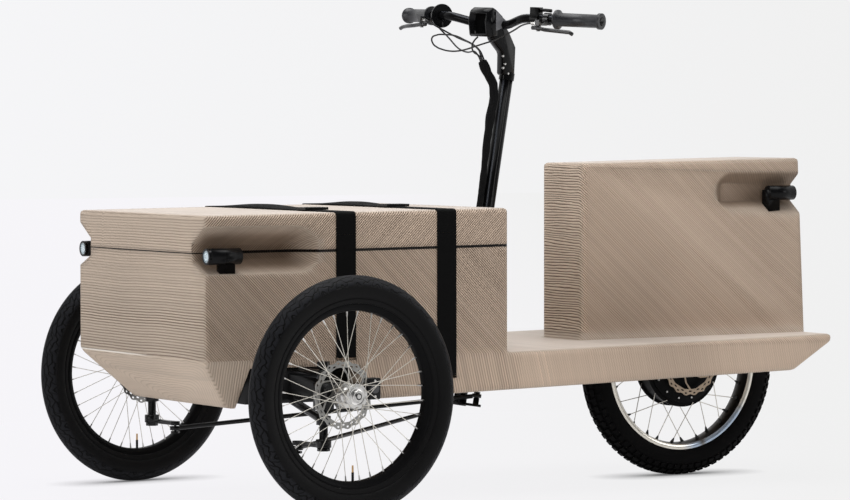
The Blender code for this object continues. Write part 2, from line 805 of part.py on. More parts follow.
def make_body():
    body = whole_shell("printed_body")
    round_edges(body, BODY_ROUNDING)
    seat = seat_housing()
    bake(body)
    union(body, [seat])
    cuts = [above_seam(0.0, "body_top_cut"), tub_hollow()]
    for side in SIDES:
        cuts.append(chin_wedge(side))
        cuts.append(bpy.data.objects["lamp_notch_" + side])
        cuts.append(tail_notch(side))
        for which in STRAP_X:
            cuts.append(strap_pocket(which, side))
    middle_x = (ARCH_FRONT_X + ARCH_REAR_X) / 2
    cuts.append(block("arch_cut", (ARCH_FRONT_X - ARCH_REAR_X, 2 * (HALF_WIDTH + OVERSHOOT), ARCH_TOP_Z),
                      (middle_x, 0, ARCH_TOP_Z / 2), cutter=True))
    well_length = WELL_FRONT_X - TAIL_X + OVERSHOOT
    cuts.append(block("well_cut", (well_length, 2 * WELL_HALF_W, WELL_TOP_Z),
                      (WELL_FRONT_X - well_length / 2, 0, WELL_TOP_Z / 2), cutter=True))
    axle = Vector((REAR_AXLE_X, 0, REAR_TYRE_R))
    for name, radius, half in (("wheel_well", REAR_TYRE_R + WHEEL_CLEARANCE, SEAT_WELL_HALF_W),
                               ("disc_well", DISC_WELL_R, DISC_WELL_HALF_W)):
        across = Vector((0, half, 0))
        cuts.append(rod(name, axle - across, axle + across, radius, 48, cutter=True))
    cuts.append(sloped_block("bay_cut", BAY_FRONT_X, BAY_REAR_X, BAY_HALF_W, -0.02, BAY_HEIGHT, cutter=True))
    cuts.append(sloped_block("cover_seat", BAY_FRONT_X + COVER_LIP, BAY_REAR_X - COVER_LIP,
                             BAY_HALF_W + COVER_LIP, -0.02, COVER_T + GAP, cutter=True))
    cuts.append(rod("column_hole", column_point(COLUMN_FOOT_Z), column_point(DECK_REAR_Z + OVERSHOOT),
                    COLUMN_R + GAP * 2 + BEARING_T, 32, cutter=True))
    seat_frame = column_frame()
    cuts.append(rod("bearing_seat_cut", seat_frame @ Vector((0, 0, bearing_seat())),
                    seat_frame @ Vector((0, 0, bearing_seat() + OVERSHOOT)), BEARING_FLANGE_R + GAP, 32, cutter=True))
    subtract(body, cuts)
    return body


def make_belly_cover():
    edge = COVER_LIP - GAP * 3
    return sloped_block("belly_cover", BAY_FRONT_X + edge, BAY_REAR_X - edge, BAY_HALF_W + edge,
                        0.0, COVER_T, black_plastic())


def make_battery():
    middle = (BAY_FRONT_X + BAY_REAR_X) / 2
    low = COVER_T + GAP
    battery = sloped_block("battery", middle + BATTERY_L / 2, middle - BATTERY_L / 2, BATTERY_W / 2,
                           low, low + BATTERY_H, black_plastic())
    round_edges(battery, 0.004, 1)
    return battery


# Lamps

def make_front_lamp(side):
    """A round housing on a short foot that stands on the notch's lower slope."""
    y = SIDES[side] * LAMP_Y
    lamp = rod("front_lamp_" + side, (LAMP_REAR_X, y, LAMP_Z), (LAMP_FRONT_X - LENS_T, y, LAMP_Z),
               LAMP_R, 24, black_plastic())
    foot = block("foot", (LAMP_FOOT_L, LAMP_FOOT_W, 0.02), (LAMP_FOOT_X, SIDES[side] * LAMP_FOOT_Y, 0.0),
                 black_plastic())
    for vert in foot.data.vertices:
        floor = slope_z(HALF_WIDTH - abs(vert.co.y), NOTCH_DEPTH, NOTCH_LOW_Z, NOTCH_BACK_LOW_Z)
        vert.co.z = floor + GAP if vert.co.z < 0 else LAMP_Z - LAMP_R * 0.5
    union(lamp, [foot])
    lens = rod("front_lens_" + side, (LAMP_FRONT_X - LENS_T + GAP, y, LAMP_Z), (LAMP_FRONT_X, y, LAMP_Z),
               LAMP_R - 0.003, 24, lens_glass())
    return lamp, lens


def make_tail_lamp(side):
    """A round housing that reaches back from an upright foot in the seat housing's notch."""
    y = SIDES[side] * TAIL_LAMP_Y
    lamp = rod("tail_lamp_" + side, (TAIL_LAMP_FRONT_X, y, TAIL_LAMP_Z), (TAIL_LAMP_REAR_X, y, TAIL_LAMP_Z),
               TAIL_LAMP_R, 20, black_plastic())
    foot = block("foot", (TAIL_LAMP_FOOT_L, TAIL_LAMP_FOOT_W, 0.02),
                 (TAIL_LAMP_FOOT_X, SIDES[side] * TAIL_LAMP_FOOT_Y, 0.0), black_plastic())
    for vert in foot.data.vertices:
        surface = seat_half_width(vert.co.x, (TAIL_NOTCH_Z[1] + TAIL_NOTCH_Z[2]) / 2)
        floor = slope_z(surface - abs(vert.co.y), TAIL_NOTCH_DEPTH, TAIL_NOTCH_Z[3], TAIL_NOTCH_Z[2])
        vert.co.z = floor + GAP * 3 if vert.co.z < 0 else TAIL_LAMP_Z + TAIL_LAMP_R * 0.4
    return union(lamp, [foot])


# Wheels

def tyre_profile(radius, width, rim_radius, gap):
    """A closed tyre section: bead walls that widen into a round crown."""
    half = width / 2
    bead = half * 0.62
    crown = radius - half
    points = []
    for step in range(9):
        angle = math.pi / 2 - math.pi * step / 8
        points.append((crown + half * math.cos(angle), half * math.sin(angle)))
    inner = rim_radius + gap
    return points + [(inner, -bead), (inner, bead)]


def make_tyre(name, radius, width, rim_radius, centre):
    steps = WHEEL_STEPS
    tyre = turned(name, tyre_profile(radius / math.cos(math.pi / steps), width, rim_radius, GAP),
                  True, steps, rubber())
    lay_across(tyre, centre, math.pi / steps + math.pi / 2)
    return tyre


def make_rim(name, rim_radius, width, centre, paint):
    """A single-wall rim: flanges at the edges and a well between them."""
    half = width / 2
    r, t = rim_radius, RIM_WALL
    profile = [(r, half), (r, -half), (r - t, -half), (r - RIM_DEPTH, -half * 0.55),
               (r - RIM_DEPTH, half * 0.55), (r - t, half)]
    rim = turned(name, profile, True, WHEEL_STEPS, paint)
    lay_across(rim, centre, math.pi / WHEEL_STEPS + math.pi / 2)
    return rim


def add_spokes(shape, centre, hub_r, flange_y, rim_r, rim_y, cross_deg):
    """Crossed spokes from both flanges to the rim."""
    per_flange = SPOKE_COUNT // 2
    for out in (1, -1):
        for index in range(per_flange):
            sweep = cross_deg if index % 2 else -cross_deg
            angle = math.tau * (index + (0.25 if out > 0 else 0.75)) / per_flange
            rim_angle = angle + math.radians(sweep)
            lean = SPOKE_LEAN if index % 2 else -SPOKE_LEAN
            start = Vector((math.cos(angle) * (hub_r - 0.002), out * (flange_y + lean),
                            math.sin(angle) * (hub_r - 0.002)))
            end = Vector((math.cos(rim_angle) * rim_r, out * rim_y, math.sin(rim_angle) * rim_r))
            add_rod(shape, centre + start, centre + end, SPOKE_R, 3)


def spoke_set(centre, hub_r, flange_y, rim_r, rim_y, cross_deg):
    shape = bmesh.new()
    add_spokes(shape, centre, hub_r, flange_y, rim_r, rim_y, cross_deg)
    return add_object("spokes", mesh_from(shape, "spokes"), bright_steel())


def make_front_hub(side, centre):
    """Hub shell with its two flanges, outer cap and laced spokes, bored for the stub axle."""
    cap, flange, thick = HUB_CAP_Y, HUB_FLANGE_Y, HUB_FLANGE_T / 2
    inner_end = -(FRONT_DISC_Y - DISC_T / 2 - GAP)
    bore = STUB_AXLE_R + GAP
    barrel_end = flange - thick - HUB_FILLET
    profile = [(0.0, cap), (HUB_CAP_R - HUB_FILLET / 2, cap), (HUB_CAP_R, cap - HUB_FILLET), (HUB_CAP_R, flange + thick),
               (HUB_FLANGE_R, flange + thick), (HUB_FLANGE_R, flange - thick), (HUB_BARREL_R, barrel_end),
               (HUB_BARREL_R, -barrel_end), (HUB_FLANGE_R, -flange + thick),
               (HUB_FLANGE_R, -flange - thick), (HUB_DISC_SEAT_R, -flange - thick), (HUB_DISC_SEAT_R, inner_end),
               (bore, inner_end), (bore, cap - HUB_CAP_T), (0.0, cap - HUB_CAP_T)]
    if SIDES[side] < 0:
        profile = [(radius, -height) for radius, height in reversed(profile)]
    hub = turned("front_hub_" + side, profile, False, 20, bright_steel())
    lay_across(hub, centre)
    bake(hub)
    rim_inner = FRONT_RIM_R - RIM_DEPTH
    spokes = spoke_set(centre, HUB_FLANGE_R, HUB_FLANGE_Y, rim_inner * math.cos(math.pi / WHEEL_STEPS) - GAP * 2,
                       0.003, FRONT_CROSS_DEG)
    return union(hub, [spokes], True)


def make_rear_hub(centre):
    """Hub motor: a drum with domed side covers, bored for the axle, laced with short spokes."""
    w, r = MOTOR_HALF_W, MOTOR_R
    bore = REAR_AXLE_R + GAP
    disc_face = REAR_DISC_Y - DISC_T / 2 - GAP
    profile = [(bore, disc_face), (MOTOR_NECK_R, disc_face), (MOTOR_NECK_R, w + 0.008), (r * 0.62, w + 0.004),
               (r - 0.010, w - 0.006), (r - 0.010, w - 0.010), (r, w - 0.010), (r, w - 0.014),
               (r - 0.006, w - 0.016), (r - 0.006, -w + 0.016), (r, -w + 0.014), (r, -w + 0.010),
               (r - 0.010, -w + 0.010), (r - 0.010, -w + 0.006), (r * 0.62, -w - 0.004),
               (MOTOR_NECK_R, -w - 0.008), (MOTOR_NECK_R, -w - 0.014), (bore, -w - 0.014)]
    hub = turned("rear_hub_motor", profile, True, 32, black_paint())
    lay_across(hub, centre)
    bake(hub)
    rim_inner = REAR_RIM_R - RIM_DEPTH
    spokes = spoke_set(centre, r, w - 0.012, rim_inner * math.cos(math.pi / WHEEL_STEPS) - GAP * 2, 0.006, 16)
    return union(hub, [spokes], True)


def ring_points(radius, count, start=0.0):
    return [(radius * math.cos(start + math.tau * i / count), radius * math.sin(start + math.tau * i / count))
            for i in range(count)]


def disc_window(angle, inner, outer, half_angle):
    """One opening between the swept arms of a brake disc."""
    points = []
    for radius, skew, share in ((outer, 0.0, 1.0), (inner, DISC_ARM_SWEEP, -0.75)):
        for turn in (half_angle, 0.0, -half_angle):
            place = angle + turn * share + skew
            points.append((radius * math.cos(place), radius * math.sin(place)))
    return points


def make_disc(name, centre):
    """A ventilated brake disc: an outer ring on six swept arms."""
    loops = [ring_points(DISC_R, 40), ring_points(DISC_BORE_R, 20)]
    for index in range(DISC_ARMS):
        loops.append(disc_window(math.tau * index / DISC_ARMS, DISC_ARM_INNER_R, DISC_ARM_OUTER_R, 0.36))
    disc = side_plate(name, loops, DISC_T, 0.0, bright_steel())
    disc.data.transform(Matrix.Translation(centre))
    return disc


# Front axle, brakes and steering linkage

def make_front_frame():
    """The steel cross-frame in the arches: a flat box with an arm to each kingpin's two eyes."""
    top = ARCH_TOP_Z - GAP
    front, rear = ARCH_FRONT_X - 0.005, ARCH_REAR_X + 0.005
    low, half = FRAME_LOW_Z, FRAME_HALF_W
    core = block("front_frame", (front - rear, 2 * half, top - low), ((front + rear) / 2, 0, (top + low) / 2),
                 black_paint())
    extras = []
    for side, out in SIDES.items():
        for height in FRAME_EYE_Z:
            start = (KINGPIN_X, out * (half - FRAME_ARM_R * 2), max(height, low + FRAME_ARM_R * 1.2))
            end = (KINGPIN_X, out * (KINGPIN_Y - 0.004), height)
            extras.append(rod("arm", start, end, FRAME_ARM_R, 10, black_paint()))
            foot = Vector((KINGPIN_X, out * KINGPIN_Y, height - FRAME_EYE_H / 2))
            extras.append(rod("eye", foot, foot + Vector((0, 0, FRAME_EYE_H)), FRAME_EYE_R, 20, black_paint()))
    union(core, extras)
    bores = [rod("kingpin_bore_" + side, (KINGPIN_X, out * KINGPIN_Y, KINGPIN_FOOT_Z),
                 (KINGPIN_X, out * KINGPIN_Y, KINGPIN_TOP_Z), KINGPIN_R + GAP, 20, cutter=True)
             for side, out in SIDES.items()]
    return subtract(core, bores)


def make_knuckle(side, axle_turn):
    """Kingpin post, stub axle and steering arm, modelled round the straight-ahead kingpin."""
    out = SIDES[side]
    x, y = KINGPIN_X, out * KINGPIN_Y
    post = rod("knuckle_" + side, (x, y, KINGPIN_FOOT_Z), (x, y, KINGPIN_TOP_Z), KINGPIN_R, 20, black_paint())
    boss = block("boss", (0.034, 0.036, 0.062), (x, y, FRONT_TYRE_R - 0.006), black_paint())
    head = rod("head", (x, y, KINGPIN_TOP_Z - 0.012), (x, y, KINGPIN_TOP_Z), 0.015, 6, black_paint())
    nut = rod("nut", (x, y, KINGPIN_FOOT_Z), (x, y, KINGPIN_FOOT_Z + 0.008), 0.015, 6, black_paint())
    centre = wheel_centre(side)
    stub_end = centre + Vector((0, out * (HUB_CAP_Y - 0.007), 0))
    stub = rod("stub", (x, y, FRONT_TYRE_R), (x, centre.y - out * (FRONT_DISC_Y + 0.0045), FRONT_TYRE_R),
               0.013, 16, black_paint())
    axle = rod("axle", (centre.x, centre.y - out * (FRONT_DISC_Y + 0.007), FRONT_TYRE_R), stub_end, STUB_AXLE_R, 20,
               black_paint())
    carrier = block("carrier", (abs(x - centre.x) + 0.05, 0.012, 0.030),
                    ((x + centre.x) / 2, centre.y - out * (FRONT_DISC_Y + 0.010), FRONT_TYRE_R), black_paint())
    mount_arm = block("mount_arm", (0.100, 0.006, 0.026),
                      (centre.x - 0.056, centre.y - out * (FRONT_DISC_Y + 0.0120), FRONT_TYRE_R + 0.010),
                      black_paint())
    turned_pieces = [stub, axle, carrier, mount_arm]
    turn_about(turned_pieces, (x, y, 0), axle_turn)
    arm_pieces = steering_arm_pieces(side, x, y)
    return union(post, [boss, head, nut, *turned_pieces, *arm_pieces])


def turn_about(pieces, centre, angle):
    turn = Matrix.Translation(centre) @ Matrix.Rotation(angle, 4, "Z") @ Matrix.Translation(-Vector(centre))
    for piece in pieces:
        piece.data.transform(turn)


def link_z():
    """Height of a drag link's front eye: under the arm's tip."""
    return ARM_Z - ARM_T / 2 - LINK_GAP - EYE_T / 2


def steering_arm_pieces(side, x, y):
    """An arm clamped round the post, reaching inwards to a pin that holds the drag link's eye."""
    out = SIDES[side]
    tip_y = y - out * ARM_LENGTH
    collar = rod("collar", (x, y, ARM_Z - 0.0035), (x, y, ARM_Z + 0.015), 0.018, 18, bright_steel())
    bar = block("bar", (0.018, ARM_LENGTH - 0.013, ARM_T), (x, y - out * (ARM_LENGTH + 0.013) / 2, ARM_Z + 0.0003),
                bright_steel())
    tip = rod("tip", (x, tip_y, ARM_Z - ARM_T / 2), (x, tip_y, ARM_Z + ARM_T / 2 + 0.0005), 0.0117, 14, bright_steel())
    low = link_z() - EYE_T / 2 - LINK_GAP
    pin = rod("pin", (x, tip_y, low - 0.001), (x, tip_y, ARM_Z), PIN_R, 12, bright_steel())
    nut = rod("pin_nut", (x, tip_y, low - 0.005), (x, tip_y, low), EYE_BORE_R + 0.0015, 6, bright_steel())
    return [collar, bar, tip, pin, nut]


def make_steering_plate():
    """The plate across the column's foot that drives both drag links."""
    plate = floor_plate("steering_plate", [plate_outline()], PLATE_T, 0.0, black_paint())
    plate.data.transform(column_frame())
    return plate


def column_frame():
    """Frame at the column's foot: Z up the column, Y to the left."""
    lean = Matrix.Rotation(-math.radians(COLUMN_LEAN_DEG), 4, "Y")
    return Matrix.Translation(column_point(COLUMN_FOOT_Z)) @ lean


def plate_outline():
    end, waist = 0.014, 0.020
    points = []
    for out in (1, -1):
        for step in range(7):
            angle = math.pi * step / 6 - (0 if out > 0 else math.pi)
            points.append((end * math.cos(angle), out * PLATE_REACH + end * math.sin(angle)))
        points.append((-out * waist, out * 0.018))
        points.append((-out * waist, -out * 0.018))
    return points


def bolt_foot(side):
    """Where a drag link turns on the plate: the left wheel's link on the right-hand bolt, below."""
    out = -SIDES[side]
    level = -1 if side == "left" else 1
    z = level * (PLATE_T / 2 + SPACER[side] + GAP + EYE_T / 2)
    return Vector((0.0, out * PLATE_REACH, z))


def make_drag_link(side, plate_turn, arm_turn):
    """A rod from the plate's bolt to the steering arm's pin, modelled where it lies at rest."""
    out = SIDES[side]
    frame = column_frame()
    local = Matrix.Rotation(plate_turn, 4, "Z") @ bolt_foot(side)
    rear = frame @ local
    front = Vector((KINGPIN_X, out * KINGPIN_Y, 0)) + Matrix.Rotation(arm_turn, 3, "Z") @ Vector(
        (0, -out * ARM_LENGTH, 0))
    front.z = link_z()
    name = "drag_link_" + side
    direction = (front - rear).normalized()
    bar = rod(name, rear + direction * 0.010, front - direction * 0.0115, LINK_R, 10, black_paint())
    axis = frame.to_3x3() @ Vector((0, 0, 1))
    rear_eye = rod("rear_eye", rear - axis * EYE_T / 2, rear + axis * EYE_T / 2, 0.0115, 16, bright_steel())
    up = Vector((0, 0, EYE_T / 2))
    front_eye = rod("front_eye", front - up, front + up, EYE_R, 20, bright_steel())
    union(bar, [rear_eye, front_eye])
    bore = rod("eye_bore_" + side, front - up * 2, front + up * 2, EYE_BORE_R, 16, cutter=True)
    bolt_bore = rod("bolt_bore_" + side, rear - axis * 0.02, rear + axis * 0.02, 0.0043, 12, cutter=True)
    bake(subtract(bar, [bore, bolt_bore]))
    return origin_at(bar, rear)


def plate_bolts():
    """Bolts of the steering plate, one up and one down, which carry the links' rear eyes."""
    pieces = []
    for side in SIDES:
        place = bolt_foot(side)
        level = 1 if place.z > 0 else -1
        start = Vector((0, place.y, 0))
        shoulder = Vector((0, place.y, level * (PLATE_T / 2 + SPACER[side])))
        under_head = shoulder + Vector((0, 0, level * (EYE_T + GAP * 2)))
        over = Vector((0, 0, level * 0.001))
        pieces.append(rod("spacer", start, shoulder, 0.0075, 12, bright_steel()))
        pieces.append(rod("bolt", start, under_head + over, 0.004, 12, bright_steel()))
        pieces.append(rod("bolt_head", under_head, under_head + over * 5, 0.008, 6, bright_steel()))
    for piece in pieces:
        piece.data.transform(column_frame())
    return pieces


def make_caliper(name, disc_centre, size, shift):
    """A brake caliper: a block astride the disc's rim, slotted for the disc on the hub's side."""
    disc_centre = Vector(disc_centre)
    centre = disc_centre + Vector(shift)
    body = block(name, size, centre, black_paint(), rounding=0.003)
    towards_hub = -math.copysign(size[0] * 0.22, shift[0])
    slot = block(name + "_slot", (size[0], 0.0055, size[2] * 1.3),
                 (centre.x + towards_hub, disc_centre.y, centre.z), cutter=True)
    return bake(subtract(body, [slot]))


# Rear axle

def make_rear_frame():
    """Two steel dropout plates joined by a cross-piece in front of the rear tyre."""
    outer = WELL_HALF_W - GAP
    thick = DROPOUT_T
    top = WELL_TOP_Z - GAP
    front = WELL_FRONT_X - GAP
    rear = REAR_AXLE_X - 0.060
    low = REAR_TYRE_R - 0.022
    plates = []
    for side, out in SIDES.items():
        loop = [(front, top), (front, belly_z(front) + 0.012), (REAR_AXLE_X + 0.035, low), (REAR_AXLE_X - 0.020, low),
                (rear, belly_z(rear) + 0.012), (rear, top)]
        name = "rear_frame" if out > 0 else "rear_plate"
        plates.append(side_plate(name, [loop], thick, out * (outer - thick / 2), black_paint()))
    bridge = block("bridge", (0.012, 2 * outer - thick, 0.050), (front - 0.006, 0, top - 0.030), black_paint())
    frame = union(plates[0], [plates[1], bridge])
    across = Vector((0, WELL_HALF_W + OVERSHOOT, 0))
    axle = Vector((REAR_AXLE_X, 0, REAR_TYRE_R))
    return subtract(frame, [rod("axle_bore", axle - across, axle + across, REAR_AXLE_R + GAP, 16, cutter=True)])


def make_rear_axle():
    """The motor's fixed axle with a nut against each dropout plate."""
    reach = WELL_HALF_W - GAP * 2
    axle = rod("rear_axle", (REAR_AXLE_X, -reach, REAR_TYRE_R), (REAR_AXLE_X, reach, REAR_TYRE_R),
               REAR_AXLE_R, 16, bright_steel())
    inner = WELL_HALF_W - DROPOUT_T - GAP * 2
    nuts = []
    for out in SIDES.values():
        nuts.append(rod("nut", (REAR_AXLE_X, out * (inner - 0.008), REAR_TYRE_R),
                        (REAR_AXLE_X, out * inner, REAR_TYRE_R), 0.011, 6, bright_steel()))
    return union(axle, nuts)


# Steering column and cockpit

def column_height(z):
    """Distance along the column's axis from its foot to a height above the ground."""
    return (z - COLUMN_FOOT_Z) / math.cos(math.radians(COLUMN_LEAN_DEG))


def bearing_seat():
    """Where the bearing's flange rests, in a spot face square to the column, along the column's axis."""
    return column_height(deck_z(column_x(DECK_FRONT_Z))) - BEARING_FLANGE_R * math.sin(math.radians(COLUMN_LEAN_DEG))


def make_column_bearing():
    """A flanged bush pressed in the deck, in which the column turns."""
    frame = column_frame()
    bore = COLUMN_R + GAP
    outer = bore + BEARING_T
    low = column_height(belly_z(COLUMN_FOOT_X)) - 0.006
    top = bearing_seat() + GAP
    profile = [(bore, top + BEARING_FLANGE_T), (BEARING_FLANGE_R, top + BEARING_FLANGE_T), (BEARING_FLANGE_R, top),
               (outer, top), (outer, low), (bore, low)]
    bearing = turned("column_bearing", profile, True, 32, black_paint())
    bearing.matrix_world = frame
    return bearing


def make_column():
    foot = column_point(COLUMN_FOOT_Z - 0.005)
    return rod("steering_column", foot, column_point(COLUMN_TOP_Z), COLUMN_R, 28, black_paint())


def from_bar(offsets):
    """Points in X and Z, or in all three directions, given as offsets from the handlebar's middle."""
    middle = (BAR_X, BAR_Z) if len(offsets[0]) == 2 else (BAR_X, 0.0, BAR_Z)
    return [tuple(a + b for a, b in zip(middle, offset)) for offset in offsets]


def make_stem():
    """The dog-leg stem: a clamp on the column, a bend forward and a clamp round the bar."""
    outline = [(-0.0600, -0.1240), (-0.0235, -0.1240), (-0.0230, -0.0690), (0.0110, -0.0370), (0.0190, -0.0150),
               (0.0130, 0.0120), (-0.0110, 0.0140), (-0.0390, -0.0180), (-0.0620, -0.0550)]
    stem = side_plate("stem", [from_bar(outline)], STEM_WIDTH, 0.0, black_paint())
    round_edges(merge_flat(stem), 0.004, 1, 40)
    bore = rod("bar_bore", (BAR_X, -STEM_WIDTH, BAR_Z), (BAR_X, STEM_WIDTH, BAR_Z), BAR_R + GAP, 20, cutter=True)
    return subtract(stem, [bore])


def make_handlebar():
    """A swept-back bar that rises from the clamp to the grips in a shallow S."""
    path = []
    for side, out in (("right", -1), ("left", 1)):
        bend = on_bar(side, -BAR_STRAIGHT).translation
        half = [(BAR_X, out * BAR_MIDDLE_HALF, BAR_Z), bend, grip_line(side)[1]]
        path += reversed(half) if out < 0 else half
    bar = tube("handlebar", rounded_path(path, 0.022, 3), BAR_R, black_paint(), 2)
    return bar


def grip_line(side):
    out = SIDES[side]
    start = Vector((GRIP_INNER[0], out * GRIP_INNER[1], GRIP_INNER[2]))
    end = Vector((GRIP_OUTER[0], out * GRIP_OUTER[1], GRIP_OUTER[2]))
    return start, end


def on_bar(side, distance):
    """Frame on the grip's line, Z outwards, at a distance outside the grip's inner end."""
    start, end = grip_line(side)
    direction = (end - start).normalized()
    turn = direction.to_track_quat("Z", "Y").to_matrix().to_4x4()
    return Matrix.Translation(start + direction * distance) @ turn


def ring_on_bar(name, side, start, end, inner, outer, paint, steps=20, waist=None):
    """A collar round the bar between two distances along the grip's line."""
    profile = [(inner, end), (outer, end), (outer, start), (inner, start)]
    if waist:
        profile[1:3] = [(waist[2], end), (waist[2], end - waist[3]), (outer, end - waist[3] - 0.002),
                        (outer, start + waist[1] + 0.002), (waist[0], start + waist[1]), (waist[0], start)]
    ring = turned(name, profile, True, steps, paint)
    ring.matrix_world = on_bar(side, 0.0)
    return bake(ring)


def make_grip(side):
    start, end = grip_line(side)
    length = (end - start).length
    return ring_on_bar("grip_" + side, side, 0.0, length, BAR_R + GAP, GRIP_R, rubber(), 20,
                       (GRIP_FLANGE_R, 0.006, GRIP_END_R, 0.008))


def bar_block(name, side, size, centre, paint):
    """A box in the frame of the grip's line: X forward-ish, Y up, Z outwards."""
    piece = block(name, size, (0, 0, 0), paint)
    piece.data.transform(level_frame(side, centre))
    return piece


def level_frame(side, place):
    """Frame beside the bar: X forward, Y outwards, Z up, at (forward, along, up)."""
    out = SIDES[side]
    start, end = grip_line(side)
    direction = (end - start).normalized()
    forward = Vector((0, 0, 1)).cross(direction) * -out
    forward.normalize()
    up = forward.cross(direction * out).normalized()
    origin = start + direction * place[1] + forward * place[0] + up * place[2]
    matrix = Matrix.Identity(4)
    for row in range(3):
        matrix[row][0] = forward[row]
        matrix[row][1] = direction[row] * out
        matrix[row][2] = up[row]
        matrix[row][3] = origin[row]
    return matrix


def lever_root(side, up=0.0):
    """A point of the brake lever's hinge, at a height above the middle of the lever's eye."""
    forward, distance, level = LEVER_ROOT
    return level_frame(side, (forward, distance, level + up)).translation


def make_perch(side):
    """The brake lever's clamp round the bar, with a forward arm and the lever's pin below it."""
    ring = ring_on_bar("brake_perch_" + side, side, PERCH_ALONG - 0.007, PERCH_ALONG + 0.007,
                       BAR_R + GAP, 0.0155, black_paint())
    reach = LEVER_ROOT[0]
    ear = LEVER_ROOT[2] + LEVER_EYE_H / 2 + GAP
    start, end = BAR_R + GAP * 3, reach + 0.007
    arm = bar_block("arm", side, (end - start, 0.011, 0.010), ((start + end) / 2, PERCH_ALONG, ear + 0.005),
                    black_paint())
    upper = bar_block("upper", side, (0.012, 0.012, 0.014), (reach + 0.0015, PERCH_ALONG, ear + 0.007 + GAP),
                      black_paint())
    low = -LEVER_EYE_H / 2 - GAP
    pin = rod("pin", lever_root(side, LEVER_EYE_H), lever_root(side, low - 0.001), LEVER_PIN_R, 12)
    head = rod("head", lever_root(side, low), lever_root(side, low - 0.0022), LEVER_PIN_R * 2, 12)
    return union(ring, [arm, upper, pin, head])


def make_lever(side):
    """The lever blade, with its eye on the perch's pin, a short nose inboard and a curled tip."""
    out = SIDES[side]
    frame = level_frame(side, (0, 0, 0))
    forward, distance, level = LEVER_ROOT
    route = [(forward - 0.001, distance - 0.018, level), LEVER_ROOT, (0.053, -0.002, -0.025),
             (0.054, 0.035, -0.027), (0.049, 0.066, -0.029), (0.051, 0.075, -0.033)]
    path = [frame @ Vector((x, y * out, z)) for x, y, z in route]
    name = "brake_lever_" + side
    lever = as_mesh(tube(name, path, LEVER_R, black_paint(), 2), name, black_paint())
    half = LEVER_EYE_H / 2
    eye = rod("eye", lever_root(side, -half), lever_root(side, half), LEVER_EYE_R, 16, black_paint())
    union(lever, [eye])
    bore = rod("lever_bore_" + side, lever_root(side, -LEVER_EYE_H), lever_root(side, LEVER_EYE_H),
               LEVER_PIN_R + GAP, 12, cutter=True)
    return bake(subtract(lever, [bore]))


def thumb_root(side, up=0.0):
    """A point of the thumb lever's hinge, just inside the switch housing's outer face."""
    distance = SWITCH_ALONG + SWITCH_SIZE[1] / 2 - THUMB_POCKET[1] / 2
    return level_frame(side, (0.002, distance, THUMB_UP + up)).translation


def make_switch_block(side):
    """The switch housing clamped inboard of the left brake lever, with a pocket for its lever."""
    ring = ring_on_bar("switch_block", side, SWITCH_ALONG - 0.011, SWITCH_ALONG + 0.011,
                       BAR_R + GAP, 0.0165, black_plastic())
    box = bar_block("box", side, SWITCH_SIZE, (0.002, SWITCH_ALONG, SWITCH_UP), black_plastic())
    union(ring, [box])
    deep = THUMB_POCKET[1] * 2
    pocket = block("thumb_pocket", (THUMB_POCKET[0], deep, THUMB_POCKET[2]), (0, 0, 0), cutter=True)
    face = SWITCH_ALONG + SWITCH_SIZE[1] / 2
    pocket.data.transform(level_frame(side, (0.002, face - THUMB_POCKET[1] + deep / 2, THUMB_UP)))
    bore = rod("switch_bore", on_bar(side, SWITCH_ALONG - 0.02).translation,
               on_bar(side, SWITCH_ALONG + 0.02).translation, BAR_R + GAP, 20, cutter=True)
    bake(subtract(ring, [pocket, bore]))
    reach = THUMB_POCKET[2] / 2 + 0.001
    pin = rod("pin", thumb_root(side, -reach), thumb_root(side, reach), THUMB_PIN_R, 10)
    return union(ring, [pin])


def make_thumb_lever(side):
    """The thumb lever, with its eye on the pin in the housing's pocket, reaching out over the bar."""
    frame = level_frame(side, (0, 0, 0))
    out = SIDES[side]
    start = SWITCH_ALONG + SWITCH_SIZE[1] / 2 - THUMB_POCKET[1] / 2
    route = [(start, THUMB_UP), ((start + THUMB_END) / 2, THUMB_UP + 0.001), (THUMB_END, THUMB_UP)]
    path = [frame @ Vector((0.002, y * out, z)) for y, z in route]
    lever = as_mesh(tube("thumb_lever", path, 0.0042, black_plastic(), 2), "thumb_lever", black_plastic())
    half = THUMB_POCKET[2] / 2 - GAP
    eye = rod("eye", thumb_root(side, -half), thumb_root(side, half), THUMB_EYE_R, 14, black_plastic())
    union(lever, [eye])
    bore = rod("thumb_bore", thumb_root(side, -0.01), thumb_root(side, 0.01), THUMB_PIN_R + GAP, 10, cutter=True)
    return bake(subtract(lever, [bore]))


def make_throttle_ring(side):
    """The turning drum of the right-hand thumb throttle, with a wider flange on its inner edge."""
    low, high = THROTTLE_ALONG - 0.008, THROTTLE_ALONG + 0.008
    bore = BAR_R + GAP
    profile = [(bore, high), (THROTTLE_DRUM_R - 0.006, high), (THROTTLE_DRUM_R, high - 0.006),
               (THROTTLE_DRUM_R, low + 0.004), (THROTTLE_FLANGE_R, low + 0.004), (THROTTLE_FLANGE_R, low),
               (bore, low)]
    ring = turned("throttle_ring", profile, True, 28, black_plastic())
    ring.matrix_world = on_bar(side, 0.0)
    return ring


def make_display():
    """The hooded display in front of the stem."""
    outline = [(0.0195, 0.0175), (0.0195, -0.0290), (0.0550, -0.0290), (0.0610, 0.0090), (0.0550, 0.0350),
               (0.0410, 0.0430), (-0.0090, 0.0420), (-0.0230, 0.0290), (-0.0190, 0.0175)]
    body = side_plate("display", [from_bar(outline)], DISPLAY_WIDTH, 0.0, black_plastic())
    round_edges(merge_flat(body), 0.004, 1, 40)
    return body


# Cables

